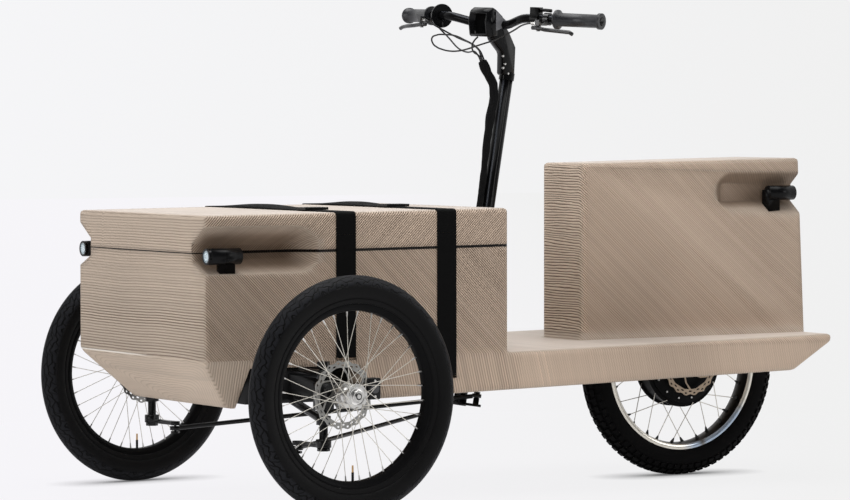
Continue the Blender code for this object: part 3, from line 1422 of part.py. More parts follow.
def sleeve_path():
    """The sleeve's line: from its mouth below the display down the column's front."""
    reach = COLUMN_R + SLEEVE_R + GAP
    knots = from_bar(SLEEVE_TOP)
    z = SLEEVE_LIE_Z
    while z > SLEEVE_FOOT_Z:
        bulge = SLEEVE_BULGE if z > SLEEVE_LIE_Z - 1.5 * SLEEVE_STEP else 0.0
        knots.append((column_x(z) + reach + bulge, 0.0, z))
        z -= SLEEVE_STEP
    knots.append((column_x(SLEEVE_FOOT_Z) + reach, 0.0, SLEEVE_FOOT_Z))
    return smooth_path(knots, 0.030)


def make_sleeve():
    return tube("cable_sleeve", sleeve_path(), SLEEVE_R, webbing(), 2)


def make_cable(name, knots):
    return tube(name, smooth_path(knots, CABLE_R * 8), CABLE_R, rubber(), 1)


def sleeve_mouth(across, ahead):
    """The last stretch of a cable into the sleeve's mouth, in one of its four corners."""
    top, below = sleeve_path()[:2]
    inward = (below - top).normalized()
    left = (Vector((0, 1, 0)) - inward * inward.y).normalized()
    front = inward.cross(left)
    corner = top + left * across * MOUTH_SPREAD + front * ahead * MOUTH_SPREAD
    return [corner - inward * 0.014, corner - inward * GAP * 1.5]


def lever_cable_start(side):
    """The first stretch of a brake cable, square out of the inboard face of the lever's clamp."""
    arm_middle = LEVER_ROOT[2] + LEVER_EYE_H / 2 + 0.005
    face = PERCH_ALONG - 0.006 - GAP * 1.5
    return [level_frame(side, (LEVER_ROOT[0], face - out, arm_middle)).translation for out in (0.0, 0.014)]


def make_cables():
    """The brake, throttle and display cables, in the straight-ahead pose."""
    starts = {"brake_cable_right": lever_cable_start("right"), "brake_cable_left": lever_cable_start("left")}
    corners = {"brake_cable_right": (-1, -1), "throttle_cable": (-1, 1), "brake_cable_left": (1, -1),
               "display_cable": (1, 1)}
    routes = {
        "brake_cable_right": [(0.0390, -0.1650, -0.0090), (0.0050, -0.1260, -0.0350),
                              (0.0030, -0.0840, -0.0470), (0.0130, -0.0430, -0.0620)],
        "throttle_cable": [(0.0208, -0.1790, -0.0113), (0.0090, -0.1560, -0.0350), (0.0108, -0.1184, -0.0604),
                           (0.0176, -0.0783, -0.0697), (0.0290, -0.0400, -0.0670)],
        "brake_cable_left": [(0.0490, 0.1500, 0.0030), (0.0310, 0.0900, -0.0160),
                             (0.0290, 0.0300, -0.0370), (0.0290, -0.0250, -0.0510), (0.0310, -0.0800, -0.0650),
                             (0.0360, -0.1234, -0.0681), (0.0400, -0.1652, -0.0592), (0.0450, -0.1800, -0.0424),
                             (0.0420, -0.1700, -0.0310), (0.0360, -0.1480, -0.0280), (0.0290, -0.1150, -0.0290),
                             (0.0240, -0.0800, -0.0400), (0.0240, -0.0350, -0.0570)],
        "display_cable": [(0.0390, -0.0180, -0.0300), (0.0510, -0.0250, -0.0480), (0.0460, -0.0240, -0.0690)],
    }
    return [make_cable(name, [*starts.get(name, []), *from_bar(offsets), *sleeve_mouth(*corners[name])])
            for name, offsets in routes.items()]


# Straps

def make_strap_side(which, side):
    y = SIDES[side] * (HALF_WIDTH + GAP + STRAP_T / 2)
    low = STRAP_FOOT_Z[which] + STRAP_POCKET_H / 2 + GAP
    return block(f"strap_side_{which}_{side}", (STRAP_W, STRAP_T, STRAP_JOIN_Z - low),
                 (STRAP_X[which], y, (STRAP_JOIN_Z + low) / 2), webbing())


def make_strap_top(which):
    """The run over the lid, bent over both edges, with its doubled tail under the buckle."""
    x = STRAP_X[which]
    top = lid_z(x) + GAP
    radius = BODY_ROUNDING
    corner_y = HALF_WIDTH - radius
    inner, outer = [], []
    for out in (1, -1):
        for step in range(5):
            angle = math.pi / 2 * step / 4
            along_arc = angle if out > 0 else math.pi / 2 - angle
            for points, r in ((inner, radius + GAP), (outer, radius + GAP + STRAP_T)):
                points.append((out * (corner_y + r * math.cos(along_arc)),
                               lid_z(x) - radius + r * math.sin(along_arc)))
    join = STRAP_JOIN_Z + GAP
    width = HALF_WIDTH + GAP
    loop = [(width + STRAP_T, join), *outer, (-width - STRAP_T, join), (-width, join), *reversed(inner),
            (width, join)]
    strap = outline_curve("strap_top_" + which, [loop], STRAP_W)
    strap.matrix_world = Matrix(((0, 0, 1, x), (1, 0, 0, 0), (0, 1, 0, 0), (0, 0, 0, 1)))
    bpy.context.view_layer.update()
    strap = as_mesh(strap, "strap_top_" + which, webbing())
    return bake(strap)


def rectangle(x, y, half_x, half_y):
    return [(x - half_x, y - half_y), (x + half_x, y - half_y), (x + half_x, y + half_y), (x - half_x, y + half_y)]


def make_buckle(which):
    """A ladder-lock buckle lying on the strap, with two slots for the webbing."""
    x, y = STRAP_X[which], BUCKLE_Y[which]
    half_x = STRAP_W / 2 + BUCKLE_RAIL
    slot_half_x = STRAP_W / 2 + GAP * 2
    loops = [rectangle(x, y, half_x, BUCKLE_HALF_L)]
    for offset in (-BUCKLE_SLOT_Y, BUCKLE_SLOT_Y):
        loops.append(rectangle(x, y + offset, slot_half_x, BUCKLE_SLOT_HALF))
    rest = lid_z(x - half_x) + GAP * 2 + STRAP_T
    return floor_plate("buckle_" + which, loops, BUCKLE_T, rest + BUCKLE_T / 2, black_plastic())


# Assembly

def wheel_pieces(side, centre):
    """The pieces of a front wheel that turn on its stub axle."""
    inward = Vector((0, -SIDES[side] * FRONT_DISC_Y, 0))
    return [make_tyre("front_tyre_" + side, FRONT_TYRE_R, FRONT_TYRE_W, FRONT_RIM_R, centre),
            make_rim("front_rim_" + side, FRONT_RIM_R, FRONT_RIM_W, centre, black_paint()),
            make_front_hub(side, centre),
            make_disc("front_disc_" + side, centre + inward)]


def kingpin(side):
    return Vector((KINGPIN_X, SIDES[side] * KINGPIN_Y, FRONT_TYRE_R))


def build_front_wheel(side):
    """Knuckle and caliper on the kingpin's pivot, the wheel on a pivot of its own on the axle."""
    out, centre = SIDES[side], wheel_centre(side)
    wheel_turn = Matrix.Rotation(math.radians(WHEEL_TURN_DEG[side]), 4, "Z")
    steer = pivot("kingpin_pivot_" + side, kingpin(side), wheel_turn)
    disc_centre = centre - Vector((0, out * FRONT_DISC_Y, 0))
    caliper = make_caliper("front_caliper_" + side, disc_centre, (0.046, 0.0246, 0.074), (-0.083, out * 0.0036, 0.012))
    place_on(caliper, steer, kingpin(side))
    axle_place = steer.matrix_world @ (centre - kingpin(side))
    axle = pivot("axle_pivot_" + side, axle_place, wheel_turn)
    for piece in wheel_pieces(side, centre):
        place_on(piece, axle, centre)
    arm = pivot("arm_pivot_" + side, kingpin(side), Matrix.Rotation(math.radians(ARM_TURN_DEG), 4, "Z"))
    knuckle = make_knuckle(side, math.radians(WHEEL_TURN_DEG[side] - ARM_TURN_DEG))
    place_on(knuckle, arm, kingpin(side))


def build_rear_wheel():
    centre = Vector((REAR_AXLE_X, 0, REAR_TYRE_R))
    across = Vector((0, REAR_DISC_Y, 0))
    axle = pivot("rear_axle_pivot", centre, Matrix.Identity(4))
    pieces = [make_tyre("rear_tyre", REAR_TYRE_R, REAR_TYRE_W, REAR_RIM_R, centre),
              make_rim("rear_rim", REAR_RIM_R, REAR_RIM_W, centre, chrome()),
              make_rear_hub(centre),
              make_disc("rear_disc", centre + across)]
    for piece in pieces:
        place_on(piece, axle, centre)
    make_caliper("rear_caliper", centre + across, (0.044, 0.0444, 0.054), (0.084, 0.0112, 0.026))


def build_steering():
    """Everything on the column, turned about its leaning axis into the pose at rest."""
    foot = column_point(COLUMN_FOOT_Z)
    turn = pivot("column_pivot", foot, Matrix.Rotation(math.radians(BAR_TURN_DEG), 4, column_axis()))
    plate = union(make_steering_plate(), plate_bolts())
    hole = rod("plate_hole", column_point(0.15), column_point(0.25), COLUMN_R + GAP, 28, cutter=True)
    bake(subtract(plate, [hole]))
    pieces = [plate, make_column(), bake(make_stem()), make_handlebar(), make_display(), make_sleeve()]
    for side in SIDES:
        pieces += [make_grip(side), make_perch(side), origin_at(make_lever(side), lever_root(side))]
    pieces += [make_switch_block("left"), origin_at(make_thumb_lever("left"), thumb_root("left"))]
    drum = bake(make_throttle_ring("right"))
    pieces += [origin_at(drum, on_bar("right", THROTTLE_ALONG).translation), *make_cables()]
    for piece in pieces:
        place_on(piece, turn, foot)
    for side in SIDES:
        make_drag_link(side, math.radians(BAR_TURN_DEG), math.radians(ARM_TURN_DEG))


def build():
    clear_scene()
    for side in SIDES:
        lamp_notch(side)
    make_lid()
    make_body()
    make_belly_cover()
    make_battery()
    make_column_bearing()
    make_front_frame()
    make_rear_frame()
    make_rear_axle()
    for side in SIDES:
        make_front_lamp(side)
        make_tail_lamp(side)
        build_front_wheel(side)
    for which in STRAP_X:
        make_strap_top(which)
        make_buckle(which)
        for side in SIDES:
            make_strap_side(which, side)
    build_rear_wheel()
    build_steering()


build()
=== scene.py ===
import math

import bpy
from mathutils import Matrix, Vector


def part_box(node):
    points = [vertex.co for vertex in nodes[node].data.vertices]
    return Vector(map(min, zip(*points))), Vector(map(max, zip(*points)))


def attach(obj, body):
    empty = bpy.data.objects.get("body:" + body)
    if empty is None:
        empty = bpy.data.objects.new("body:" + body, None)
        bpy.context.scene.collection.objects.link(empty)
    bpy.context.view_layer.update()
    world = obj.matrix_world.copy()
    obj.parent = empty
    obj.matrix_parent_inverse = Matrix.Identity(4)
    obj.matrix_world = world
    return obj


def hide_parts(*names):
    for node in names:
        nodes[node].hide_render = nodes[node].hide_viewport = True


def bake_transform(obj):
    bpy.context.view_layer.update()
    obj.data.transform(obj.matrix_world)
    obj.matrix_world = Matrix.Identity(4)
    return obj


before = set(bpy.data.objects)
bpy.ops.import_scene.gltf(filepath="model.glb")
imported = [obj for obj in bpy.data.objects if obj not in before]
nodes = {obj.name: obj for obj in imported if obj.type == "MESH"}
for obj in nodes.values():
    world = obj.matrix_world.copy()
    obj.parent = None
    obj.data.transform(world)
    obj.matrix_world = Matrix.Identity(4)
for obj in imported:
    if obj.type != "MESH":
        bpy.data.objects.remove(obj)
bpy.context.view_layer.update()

# Studio: a pale floor that keeps a faint cast shadow and has a painted contact shadow under the tyres, one
# wide overhead light, a key from the rear left of the vehicle and a fill from its front, and the camera at
# the photograph's place.

STUDIO_LEFT = (0.925, 0.915, 0.945)
STUDIO_SKY_LEFT = (0.915, 0.915, 0.93)
STUDIO_RIGHT = (0.875, 0.875, 0.875)
PURE_WHITE = (1.0, 1.0, 1.0)
SKY_STRENGTH = 0.40
CONTACT_REACH = 0.11
LAMPS = (("overhead", (0.2, 0.3, 4.2), (0.0, 0.0, 0.5), 4.0, 135.0),
         ("key_rear_left", (-4.6, 4.6, 2.4), (-0.2, 0.3, 0.5), 2.4, 44.0),
         ("fill_front", (5.2, 0.4, 1.8), (0.3, 0.0, 0.5), 2.4, 54.0))
CAMERA_PLACE = (5.1845, 8.7529, 0.9350)
CAMERA_YAW, CAMERA_PITCH, CAMERA_ROLL = 239.9476, 1.6733, -0.0652
CAMERA_LENS, CAMERA_SENSOR, CAMERA_SHIFT = 174.221, 36.0, -0.025571
CAMERA_AWAY = (math.cos(math.radians(CAMERA_YAW)), math.sin(math.radians(CAMERA_YAW)), 0.0)
CAMERA_RIGHT = (math.sin(math.radians(CAMERA_YAW)), -math.cos(math.radians(CAMERA_YAW)), 0.0)


def link_or_set(socket, value):
    """Joins a socket to another node's output, or sets it to a plain value; colours are opaque."""
    if isinstance(value, bpy.types.NodeSocket):
        socket.id_data.links.new(value, socket)
    elif value is not None:
        socket.default_value = (*value, 1.0) if socket.type == "RGBA" else value


def fill_inputs(node, inputs):
    for key, value in inputs.items():
        link_or_set(node.inputs[key], value)


def add_node(owner, kind, inputs=None, **settings):
    """A node in a tree, or in the tree that a socket belongs to."""
    node = owner.id_data.nodes.new("ShaderNode" + kind)
    for key, value in settings.items():
        setattr(node, key, value)
    fill_inputs(node, inputs or {})
    return node


def calc(operation, *values, clamp=False):
    """A math node; returns its output."""
    owner = next(value for value in values if isinstance(value, bpy.types.NodeSocket))
    node = add_node(owner, "Math", dict(enumerate(values)), operation=operation, use_clamp=clamp)
    return node.outputs[0]


def times(one, two):
    return calc("MULTIPLY", one, two)


def dot(one, two):
    node = add_node(one, "VectorMath", {0: one, 1: two}, operation="DOT_PRODUCT")
    return node.outputs["Value"]


def mapped(value, low, high, start=0.0, end=1.0, kind="LINEAR"):
    """A value carried from one span to another and held at both ends."""
    inputs = {0: value, 1: low, 2: high, 3: start, 4: end}
    return add_node(value, "MapRange", inputs, interpolation_type=kind).outputs[0]


def ramp(value, low, high, start=0.0, end=1.0):
    """The same with soft ends."""
    return mapped(value, low, high, start, end, "SMOOTHSTEP")


def blend(share, one, two):
    """A mix of two colours."""
    return add_node(share, "Mix", {0: share, 6: one, 7: two}, data_type="RGBA").outputs[2]


def mixed_shaders(share, one, two):
    return add_node(share, "MixShader", {0: share, 1: one.outputs[0], 2: two.outputs[0]})


def new_finish(name):
    """A material, its main shader and the object coordinates, which are the frame's own."""
    finish = bpy.data.materials.new(name)
    finish.use_nodes = True
    place = add_node(finish.node_tree, "TexCoord").outputs["Object"]
    return finish, finish.node_tree.nodes["Principled BSDF"], place


def set_surface(shader, colour, roughness, normal=None, shine=0.5, metallic=0.0):
    fill_inputs(shader, {"Base Color": colour, "Roughness": roughness, "Normal": normal,
                         "Specular IOR Level": shine, "Metallic": metallic})


bpy.ops.mesh.primitive_plane_add(size=60.0, location=(0, 0, 0))
floor = bpy.context.object
floor.name = "studio_floor"
finish, shader, place = new_finish("studio_floor_paint")
tree = finish.node_tree
tree.nodes.remove(shader)
diffuse = add_node(tree, "BsdfDiffuse", {"Color": (0.90, 0.90, 0.90)})
across = dot(place, CAMERA_RIGHT)
white = blend(mapped(across, -1.0, 1.0), STUDIO_LEFT, STUDIO_RIGHT)
# Painted contact shadow: the floor's glow dims where ambient occlusion finds the tyres close by.
contact = add_node(tree, "AmbientOcclusion", {"Distance": CONTACT_REACH}, samples=16).outputs["AO"]
glow = add_node(tree, "Emission", {"Color": white, "Strength": mapped(contact, 0.20, 0.94, 0.16, 1.0)})
path = add_node(tree, "LightPath").outputs
seen = calc("ADD", path["Is Camera Ray"], path["Is Glossy Ray"], clamp=True)
far = add_node(tree, "VectorMath", {0: place}, operation="LENGTH").outputs["Value"]
share = times(seen, mapped(far, 0.9, 2.4, 0.965, 1.0))
surface = mixed_shaders(share, diffuse, glow)
tree.links.new(surface.outputs[0], tree.nodes["Material Output"].inputs["Surface"])
floor.data.materials.append(finish)

world = bpy.data.worlds.new("studio_world")
bpy.context.scene.world = world
world.use_nodes = True
tree = world.node_tree
path = add_node(tree, "LightPath").outputs
light_sky = tree.nodes["Background"]
fill_inputs(light_sky, {"Color": PURE_WHITE, "Strength": SKY_STRENGTH})
heading = add_node(tree, "TexCoord").outputs["Generated"]
across = dot(heading, CAMERA_RIGHT)
white = blend(mapped(across, -0.1, 0.1), STUDIO_SKY_LEFT, STUDIO_RIGHT)
seen_sky = add_node(tree, "Background", {"Color": white, "Strength": 1.0})
seen = calc("ADD", path["Is Camera Ray"], path["Is Transmission Ray"], clamp=True)
sky = mixed_shaders(seen, light_sky, seen_sky)
glare = ramp(dot(heading, CAMERA_AWAY), -0.45, 0.55, 0.07, 0.95)
room = add_node(tree, "Background", {"Color": PURE_WHITE, "Strength": glare})
surround = mixed_shaders(path["Is Glossy Ray"], sky, room)
tree.links.new(surround.outputs[0], tree.nodes["World Output"].inputs["Surface"])

for name, place, target, size, power in LAMPS:
    bpy.ops.object.light_add(type="AREA", location=place)
    lamp = bpy.context.object
    lamp.name = name
    lamp.data.shape = "DISK"
    lamp.data.size = size
    lamp.visible_camera = False
    lamp.data.energy = power
    lamp.rotation_euler = (Vector(target) - Vector(place)).to_track_quat("-Z", "Y").to_euler()

bpy.ops.object.camera_add(location=CAMERA_PLACE)
camera = bpy.context.object
yaw = Matrix.Rotation(math.radians(CAMERA_YAW - 90), 4, "Z")
pitch = Matrix.Rotation(math.radians(90 - CAMERA_PITCH), 4, "X")
roll = Matrix.Rotation(math.radians(CAMERA_ROLL), 4, "Z")
camera.matrix_world = Matrix.Translation(CAMERA_PLACE) @ (yaw @ pitch) @ roll
camera.data.lens = CAMERA_LENS
camera.data.sensor_width = CAMERA_SENSOR
camera.data.shift_y = CAMERA_SHIFT
camera.data.clip_end = 100.0
bpy.context.scene.camera = camera
bpy.context.scene.view_settings.view_transform = "Standard"


# Body and lid: both are printed in one go from thick round beads of beige plastic. The body's beads
# climb towards the front, the lid's towards the rear; below the deck they stand nearly upright.

BEAD_PITCH, ZIGZAG_PITCH, CHIN_PITCH = 0.00665, 0.0095, 0.0095
CHIN_TOP_Z, CHIN_FOOT_Z = 0.353, 0.235
CHIN_HALF_TOP, CHIN_HALF_FOOT = 0.338, 0.246
CHIN_NORMAL = (0.744, 0.0, -0.668)
DECK_LEVEL = 0.350
BODY_HALF_WIDTH = 0.338
SEAT_FRONT_LOW_X, SEAT_FRONT_HIGH_X = -0.291, -0.262
TAIL_HOLLOW_X, TAIL_HOLLOW_Z = -0.705, 0.7245
SEAM_SLOPE, SEAM_LEVEL = -0.0086, 0.6077
CLAY = (0.575, 0.466, 0.374)
CLAY_PAINTED_TOP_LIGHT = (0.63, 0.550, 0.486)
CLAY_PAINTED_SIDE_SHADE = (0.565, 0.437, 0.340)
CLAY_GROOVE_SHADE = (0.150, 0.100, 0.066)
CLAY_SHADE = (0.50, 0.345, 0.235)
CLAY_PAINTED_EDGE_LIGHT = (0.86, 0.80, 0.73)
SEAM_GAP_SHADE = (0.006, 0.004, 0.003)


def scaled(value, factor, offset):
    """A value times a factor, plus an offset."""
    return calc("MULTIPLY_ADD", value, factor, offset)


def adjust(value, mask, amount):
    """A value raised or lowered by a share of itself where a mask is 1."""
    return times(value, scaled(mask, amount, 1.0))


def length(one, two):
    return calc("SQRT", calc("ADD", times(one, one), times(two, two)))


def band(value, low, high, edge):
    """1 where a value lies between two limits, with soft edges."""
    return times(ramp(value, low - edge, low + edge), ramp(value, high + edge, high - edge))


def noise(place, scale, detail, **more):
    inputs = {"Vector": place, "Scale": scale, "Detail": detail, **more}
    return add_node(place, "TexNoise", inputs).outputs["Fac"]


def bumped(height, strength, depth, rounding=None, samples=4):
    """A bump's normal, over edges that look rounded where a radius is given."""
    inputs = {"Strength": strength, "Distance": depth, "Height": height}
    if rounding is not None:
        inputs["Normal"] = add_node(height, "Bevel", {"Radius": rounding}, samples=samples).outputs[0]
    return add_node(height, "Bump", inputs).outputs[0]


def bead_height(phase, power=2.6):
    """Round beads with sharp grooves between them: 1 on a bead's crown, 0 in the groove."""
    saw = calc("PINGPONG", phase, 0.5)
    across = scaled(saw, -2.0, 1.0)
    return calc("SUBTRACT", 1.0, calc("POWER", across, power))


def bead_mix(share, one, two):
    return add_node(share, "Mix", {0: share, 2: one, 3: two}).outputs[0]


def layer_path(place, spot, drift, climb, seat_front):
    """How far a place lies along the print's layers. The seat's front is rough, the lid has one jog."""
    x, y, z = spot
    sway, fine = drift
    bent = z
    if seat_front is not None:
        zigzag = calc("PINGPONG", calc("DIVIDE", z, ZIGZAG_PITCH), 0.5)
        high = calc("MAXIMUM", z, DECK_LEVEL)
        low = calc("MINIMUM", calc("SUBTRACT", z, DECK_LEVEL), 0.0)
        below = times(ramp(z, 0.349, 0.343), ramp(x, 0.06, 0.04))
        bent = scaled(times(zigzag, below), 0.0045, scaled(low, 0.22, high))
    along = scaled(sway, 0.016, scaled(bent, climb, x))
    along = scaled(fine, 0.0007, along)
    if seat_front is None:
        jog = times(band(y, -0.206, -0.199, 0.004), ramp(x, 0.885, 0.895))
        return scaled(jog, 0.0022, along)
    stretch = add_node(place, "Mapping", {"Vector": place, "Scale": (2.0, 5.0, 26.0)}).outputs[0]
    push = times(seat_front, scaled(noise(stretch, 1.0, 3.0), 0.018, -0.009))
    return calc("ADD", along, push)


def hollows(x, off_middle, z, is_body):
    """1 inside the hollows that the lamps sit in."""
    side_depth = calc("SUBTRACT", BODY_HALF_WIDTH, off_middle)
    front = times(band(z, 0.560, 0.648, 0.022), ramp(side_depth, 0.000, 0.052))
    front = times(front, times(ramp(x, 0.600, 0.680), ramp(x, 0.905, 0.860)))
    if not is_body:
        return front
    past = calc("MAXIMUM", calc("ADD", x, -TAIL_HOLLOW_X), 0.0)
    round_end = length(past, calc("SUBTRACT", z, TAIL_HOLLOW_Z))
    tail = times(ramp(round_end, 0.051, 0.040), ramp(z, 0.678, 0.700))
    tail = times(tail, ramp(off_middle, 0.085, 0.100))
    return calc("MAXIMUM", front, tail)


def chin_path(place, off_middle, drop):
    """The distance in from the sloping chin's outline, along which its beads lie as rings."""
    lean = (CHIN_HALF_TOP - CHIN_HALF_FOOT) / (CHIN_TOP_Z - CHIN_FOOT_Z)
    half = scaled(drop, -lean, CHIN_HALF_TOP)
    from_side = times(calc("SUBTRACT", half, off_middle), 0.78)
    inset = calc("SMOOTH_MIN", times(drop, 1.45), from_side, 0.05)
    return scaled(noise(place, 11.0, 2.0), 0.022, inset)


def lid_seam(x, z):
    """1 in the line of painted shade where the lid meets the tub, for the shaded gap between them."""
    off_seam = calc("ABSOLUTE", calc("SUBTRACT", z, scaled(x, SEAM_SLOPE, SEAM_LEVEL)))
    half = ramp(x, 0.885, 0.80, 0.0011, 0.0030)
    line = ramp(calc("SUBTRACT", off_seam, half), 0.0006, -0.0004)
    return times(line, ramp(x, 0.05, 0.07))


def printed_clay(name, climb, is_body):
    """Layered plastic. climb is -1 where the layers rise to the front, 1 where they rise to the rear."""
    finish, shader, place = new_finish(name)
    x, y, z = add_node(place, "SeparateXYZ", {0: place}).outputs
    normal = add_node(place, "NewGeometry").outputs["Normal"]
    nx, ny, nz = add_node(normal, "SeparateXYZ", {0: normal}).outputs
    off_middle = calc("ABSOLUTE", y)
    sideways = calc("ABSOLUTE", ny)
    sides = ramp(sideways, 0.70, 0.95)
    side_facing = ramp(sideways, 0.80, 0.97)
    level_top = ramp(nz, 0.90, 0.985)
    facing_front = ramp(nx, 0.7, 0.95)
    on_box = times(sides, times(ramp(x, 0.04, 0.07), ramp(z, 0.33, 0.38)))
    notch = hollows(x, off_middle, z, is_body)
    seat_front = None
    if is_body:
        on_seat_front = band(x, SEAT_FRONT_LOW_X, SEAT_FRONT_HIGH_X, 0.007)
        seat_front = times(on_seat_front, ramp(z, 0.372, 0.382))
        platform = times(times(sides, ramp(z, 0.352, 0.344)), ramp(x, 0.06, 0.04))
        chin = ramp(dot(normal, CHIN_NORMAL), 0.90, 0.97)
        drop = calc("SUBTRACT", CHIN_TOP_Z, z)
        inset = chin_path(place, off_middle, drop)

    sway = noise(place, 2.6, 2.0, Roughness=0.45)
    fine = noise(place, 70.0, 2.0)
    along = layer_path(place, (x, y, z), (sway, fine), climb, seat_front)
    phase = calc("DIVIDE", along, BEAD_PITCH)
    layer = calc("FLOOR", phase)
    pick = add_node(layer, "TexWhiteNoise", {"W": layer}, noise_dimensions="1D").outputs["Value"]
    streak_place = add_node(layer, "CombineXYZ", {0: times(layer, 0.11), 1: times(z, 0.9)})
    streak = noise(streak_place.outputs[0], 1.6, 5.0, Roughness=0.62)
    bead = bead_height(phase)
    relief = adjust(scaled(streak, 1.5, -0.15), on_box, 1.25)
    relief = adjust(relief, times(facing_front, ramp(z, 0.56, 0.40)), 0.75)
    relief = scaled(times(ramp(pick, 0.90, 0.97), sides), 0.45, relief)
    if is_body:
        bead = bead_mix(seat_front, bead, bead_height(phase, 4.2))
        bead = bead_mix(chin, bead, bead_height(calc("DIVIDE", inset, CHIN_PITCH), 5.0))
        relief = calc("ADD", relief, times(seat_front, 1.25))
        relief = adjust(relief, platform, -0.58)
    relief = adjust(relief, notch, -0.50)
    relief = adjust(relief, level_top, -0.75)
    if is_body:
        relief = adjust(relief, chin, -0.40)

    spread = times(scaled(sides, 0.10, 0.10), ramp(x, 0.0, -0.25, 1.0, 0.60))
    calm = ramp(x, 0.0, -0.25, 0.55, 0.16)
    if is_body:
        spread = adjust(spread, platform, -0.55)
        calm = adjust(calm, platform, -0.58)
    tone = scaled(pick, spread, 0.95)
    pale = times(ramp(pick, 0.10, 0.05), sides)
    tone = scaled(pale, ramp(x, 0.0, -0.25, 0.16, 0.04), tone)
    tone = scaled(calc("SUBTRACT", streak, 0.5), calm, tone)
    tone = scaled(calc("SUBTRACT", sway, 0.5), 0.30, tone)
    # Painted shade in the lamp hollows and the hollow at the seat's rear.
    tone = adjust(tone, notch, -0.45)
    # Painted shade: the sides darker towards the front, where the front wheels keep light off them.
    tone = adjust(tone, times(ramp(x, 0.60, 0.80), side_facing), -0.14)
    # Painted light: the box's sides a little lighter, the lid's sides more so.
    tone = adjust(tone, on_box, 0.03 if is_body else 0.16)
    if is_body:
        # Painted shade: the front face darker towards its bottom.
        tone = adjust(tone, times(ramp(z, 0.60, 0.38), facing_front), -0.12)
        # Painted shade: darker low down at the seat's front half, towards the deck.
        seat_foot_shade = times(ramp(z, 0.62, 0.40), band(x, -0.50, -0.30, 0.10))
        tone = adjust(tone, seat_foot_shade, -0.16)
        tone = scaled(platform, 0.08, scaled(seat_front, 0.24, tone))
        # Painted highlight: a pale band on the sides just above the deck behind the seat's front, for light
        # caught by a rounded foot.
        painted_fillet_highlight = times(band(z, 0.352, 0.366, 0.006), ramp(x, -0.25, -0.27))
        tone = scaled(times(painted_fillet_highlight, sides), 0.16, tone)
        # Painted shade: the seat darker towards its rear.
        seat_rear_shade = times(ramp(x, -0.50, -0.80), ramp(z, 0.36, 0.42))
        tone = adjust(tone, seat_rear_shade, -0.10)
        tone = scaled(times(band(inset, 0.004, 0.020, 0.003), chin), 0.08, tone)

    # Painted light: faces that look sideways take a darker, more saturated copy of the clay, level tops a paler
    # one.
    colour = blend(side_facing, CLAY, CLAY_PAINTED_SIDE_SHADE)
    colour = blend(level_top, colour, CLAY_PAINTED_TOP_LIGHT)
    # Painted shade: the hollows also take a darker, redder brown.
    colour = blend(times(notch, 0.7), colour, CLAY_SHADE)
    # Painted shade: the grooves between beads are darkened as well as bumped, more where the relief is strong.
    groove = calc("SUBTRACT", 1.0, bead)
    colour = blend(calc("MULTIPLY", groove, relief, clamp=True), colour, CLAY_GROOVE_SHADE)
    colour = add_node(tone, "HueSaturation", {"Color": colour, "Value": tone}).outputs[0]
    if is_body:
        # Painted highlight: a pale line just below the chin's top edge, on the vehicle's right half only.
        lip = times(band(drop, -0.0005, 0.0030, 0.0012), ramp(y, 0.10, -0.10))
        colour = blend(times(lip, ramp(x, 0.878, 0.888)), colour, CLAY_PAINTED_EDGE_LIGHT)
    # Painted shade in the gap between lid and tub.
    colour = blend(lid_seam(x, z), colour, SEAM_GAP_SHADE)
    rounding = scaled(notch, 0.016, 0.021)
    normal = bumped(times(bead, relief), 0.9, 0.0014, rounding, 6)
    set_surface(shader, colour, scaled(fine, 0.16, 0.50), normal, 0.25)
    return finish


def paint(node_name, finish):
    """Gives a CAD node its finish."""
    slots = nodes[node_name].data.materials
    slots.clear()
    slots.append(finish)


def make_active(piece):
    """Selects one piece alone and makes it the active one."""
    bpy.ops.object.select_all(action="DESELECT")
    piece.select_set(True)
    bpy.context.view_layer.objects.active = piece


def pick_all():
    bpy.ops.mesh.select_all(action="SELECT")


def edit_all():
    """Opens the active piece for editing, with all of it selected."""
    bpy.ops.object.mode_set(mode="EDIT")
    pick_all()


def close_edit():
    bpy.ops.object.mode_set(mode="OBJECT")


def smooth(angle):
    """Shades the active piece smoothly, with sharp edges from an angle in degrees."""
    bpy.ops.object.shade_smooth_by_angle(angle=math.radians(angle))


def assign(piece, body, node_name=None):
    """Puts a piece on the body it rides on and hides the CAD node whose place it takes."""
    if body:
        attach(piece, body)
    if node_name:
        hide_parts(node_name)
    return piece


def smooth_copy(node_name, body, finish, angle=38.0):
    """A merged and smoothly shaded copy of a CAD solid, which takes the solid's place."""
    piece = nodes[node_name].copy()
    piece.data = nodes[node_name].data.copy()
    bpy.context.scene.collection.objects.link(piece)
    for key in list(piece.keys()):
        del piece[key]
    piece.parent = None
    piece.name = node_name + "_finished"
    make_active(piece)
    edit_all()
    bpy.ops.mesh.remove_doubles(threshold=0.00002)
    close_edit()
    smooth(angle)
    piece.data.materials.clear()
    piece.data.materials.append(finish)
    return assign(piece, body, node_name)


def pick_faces(piece, wanted):
    """Selects the faces whose centres pass a test."""
    close_edit()
    for face in piece.data.polygons:
        face.select = wanted(face.center)
    bpy.ops.object.mode_set(mode="EDIT")


def pick_points(piece, wanted):
    """Selects only the points that pass a test."""
    close_edit()
    for part in (*piece.data.polygons, *piece.data.edges):
        part.select = False
    for point in piece.data.vertices:
        point.select = wanted(point.co)
    bpy.ops.object.mode_set(mode="EDIT")


def soften(piece, in_faces, in_points, rounds):
    """Divides the faces of a hollow until they are small, then relaxes the points inside it."""
    make_active(piece)
    bpy.ops.object.mode_set(mode="EDIT")
    bpy.ops.mesh.select_mode(type="FACE")
    for cuts in (3, 2):
        pick_faces(piece, in_faces)
        bpy.ops.mesh.subdivide(number_cuts=cuts)
    bpy.ops.mesh.select_mode(type="VERT")
    pick_points(piece, in_points)
    bpy.ops.mesh.vertices_smooth(factor=0.5, repeat=rounds)
    close_edit()


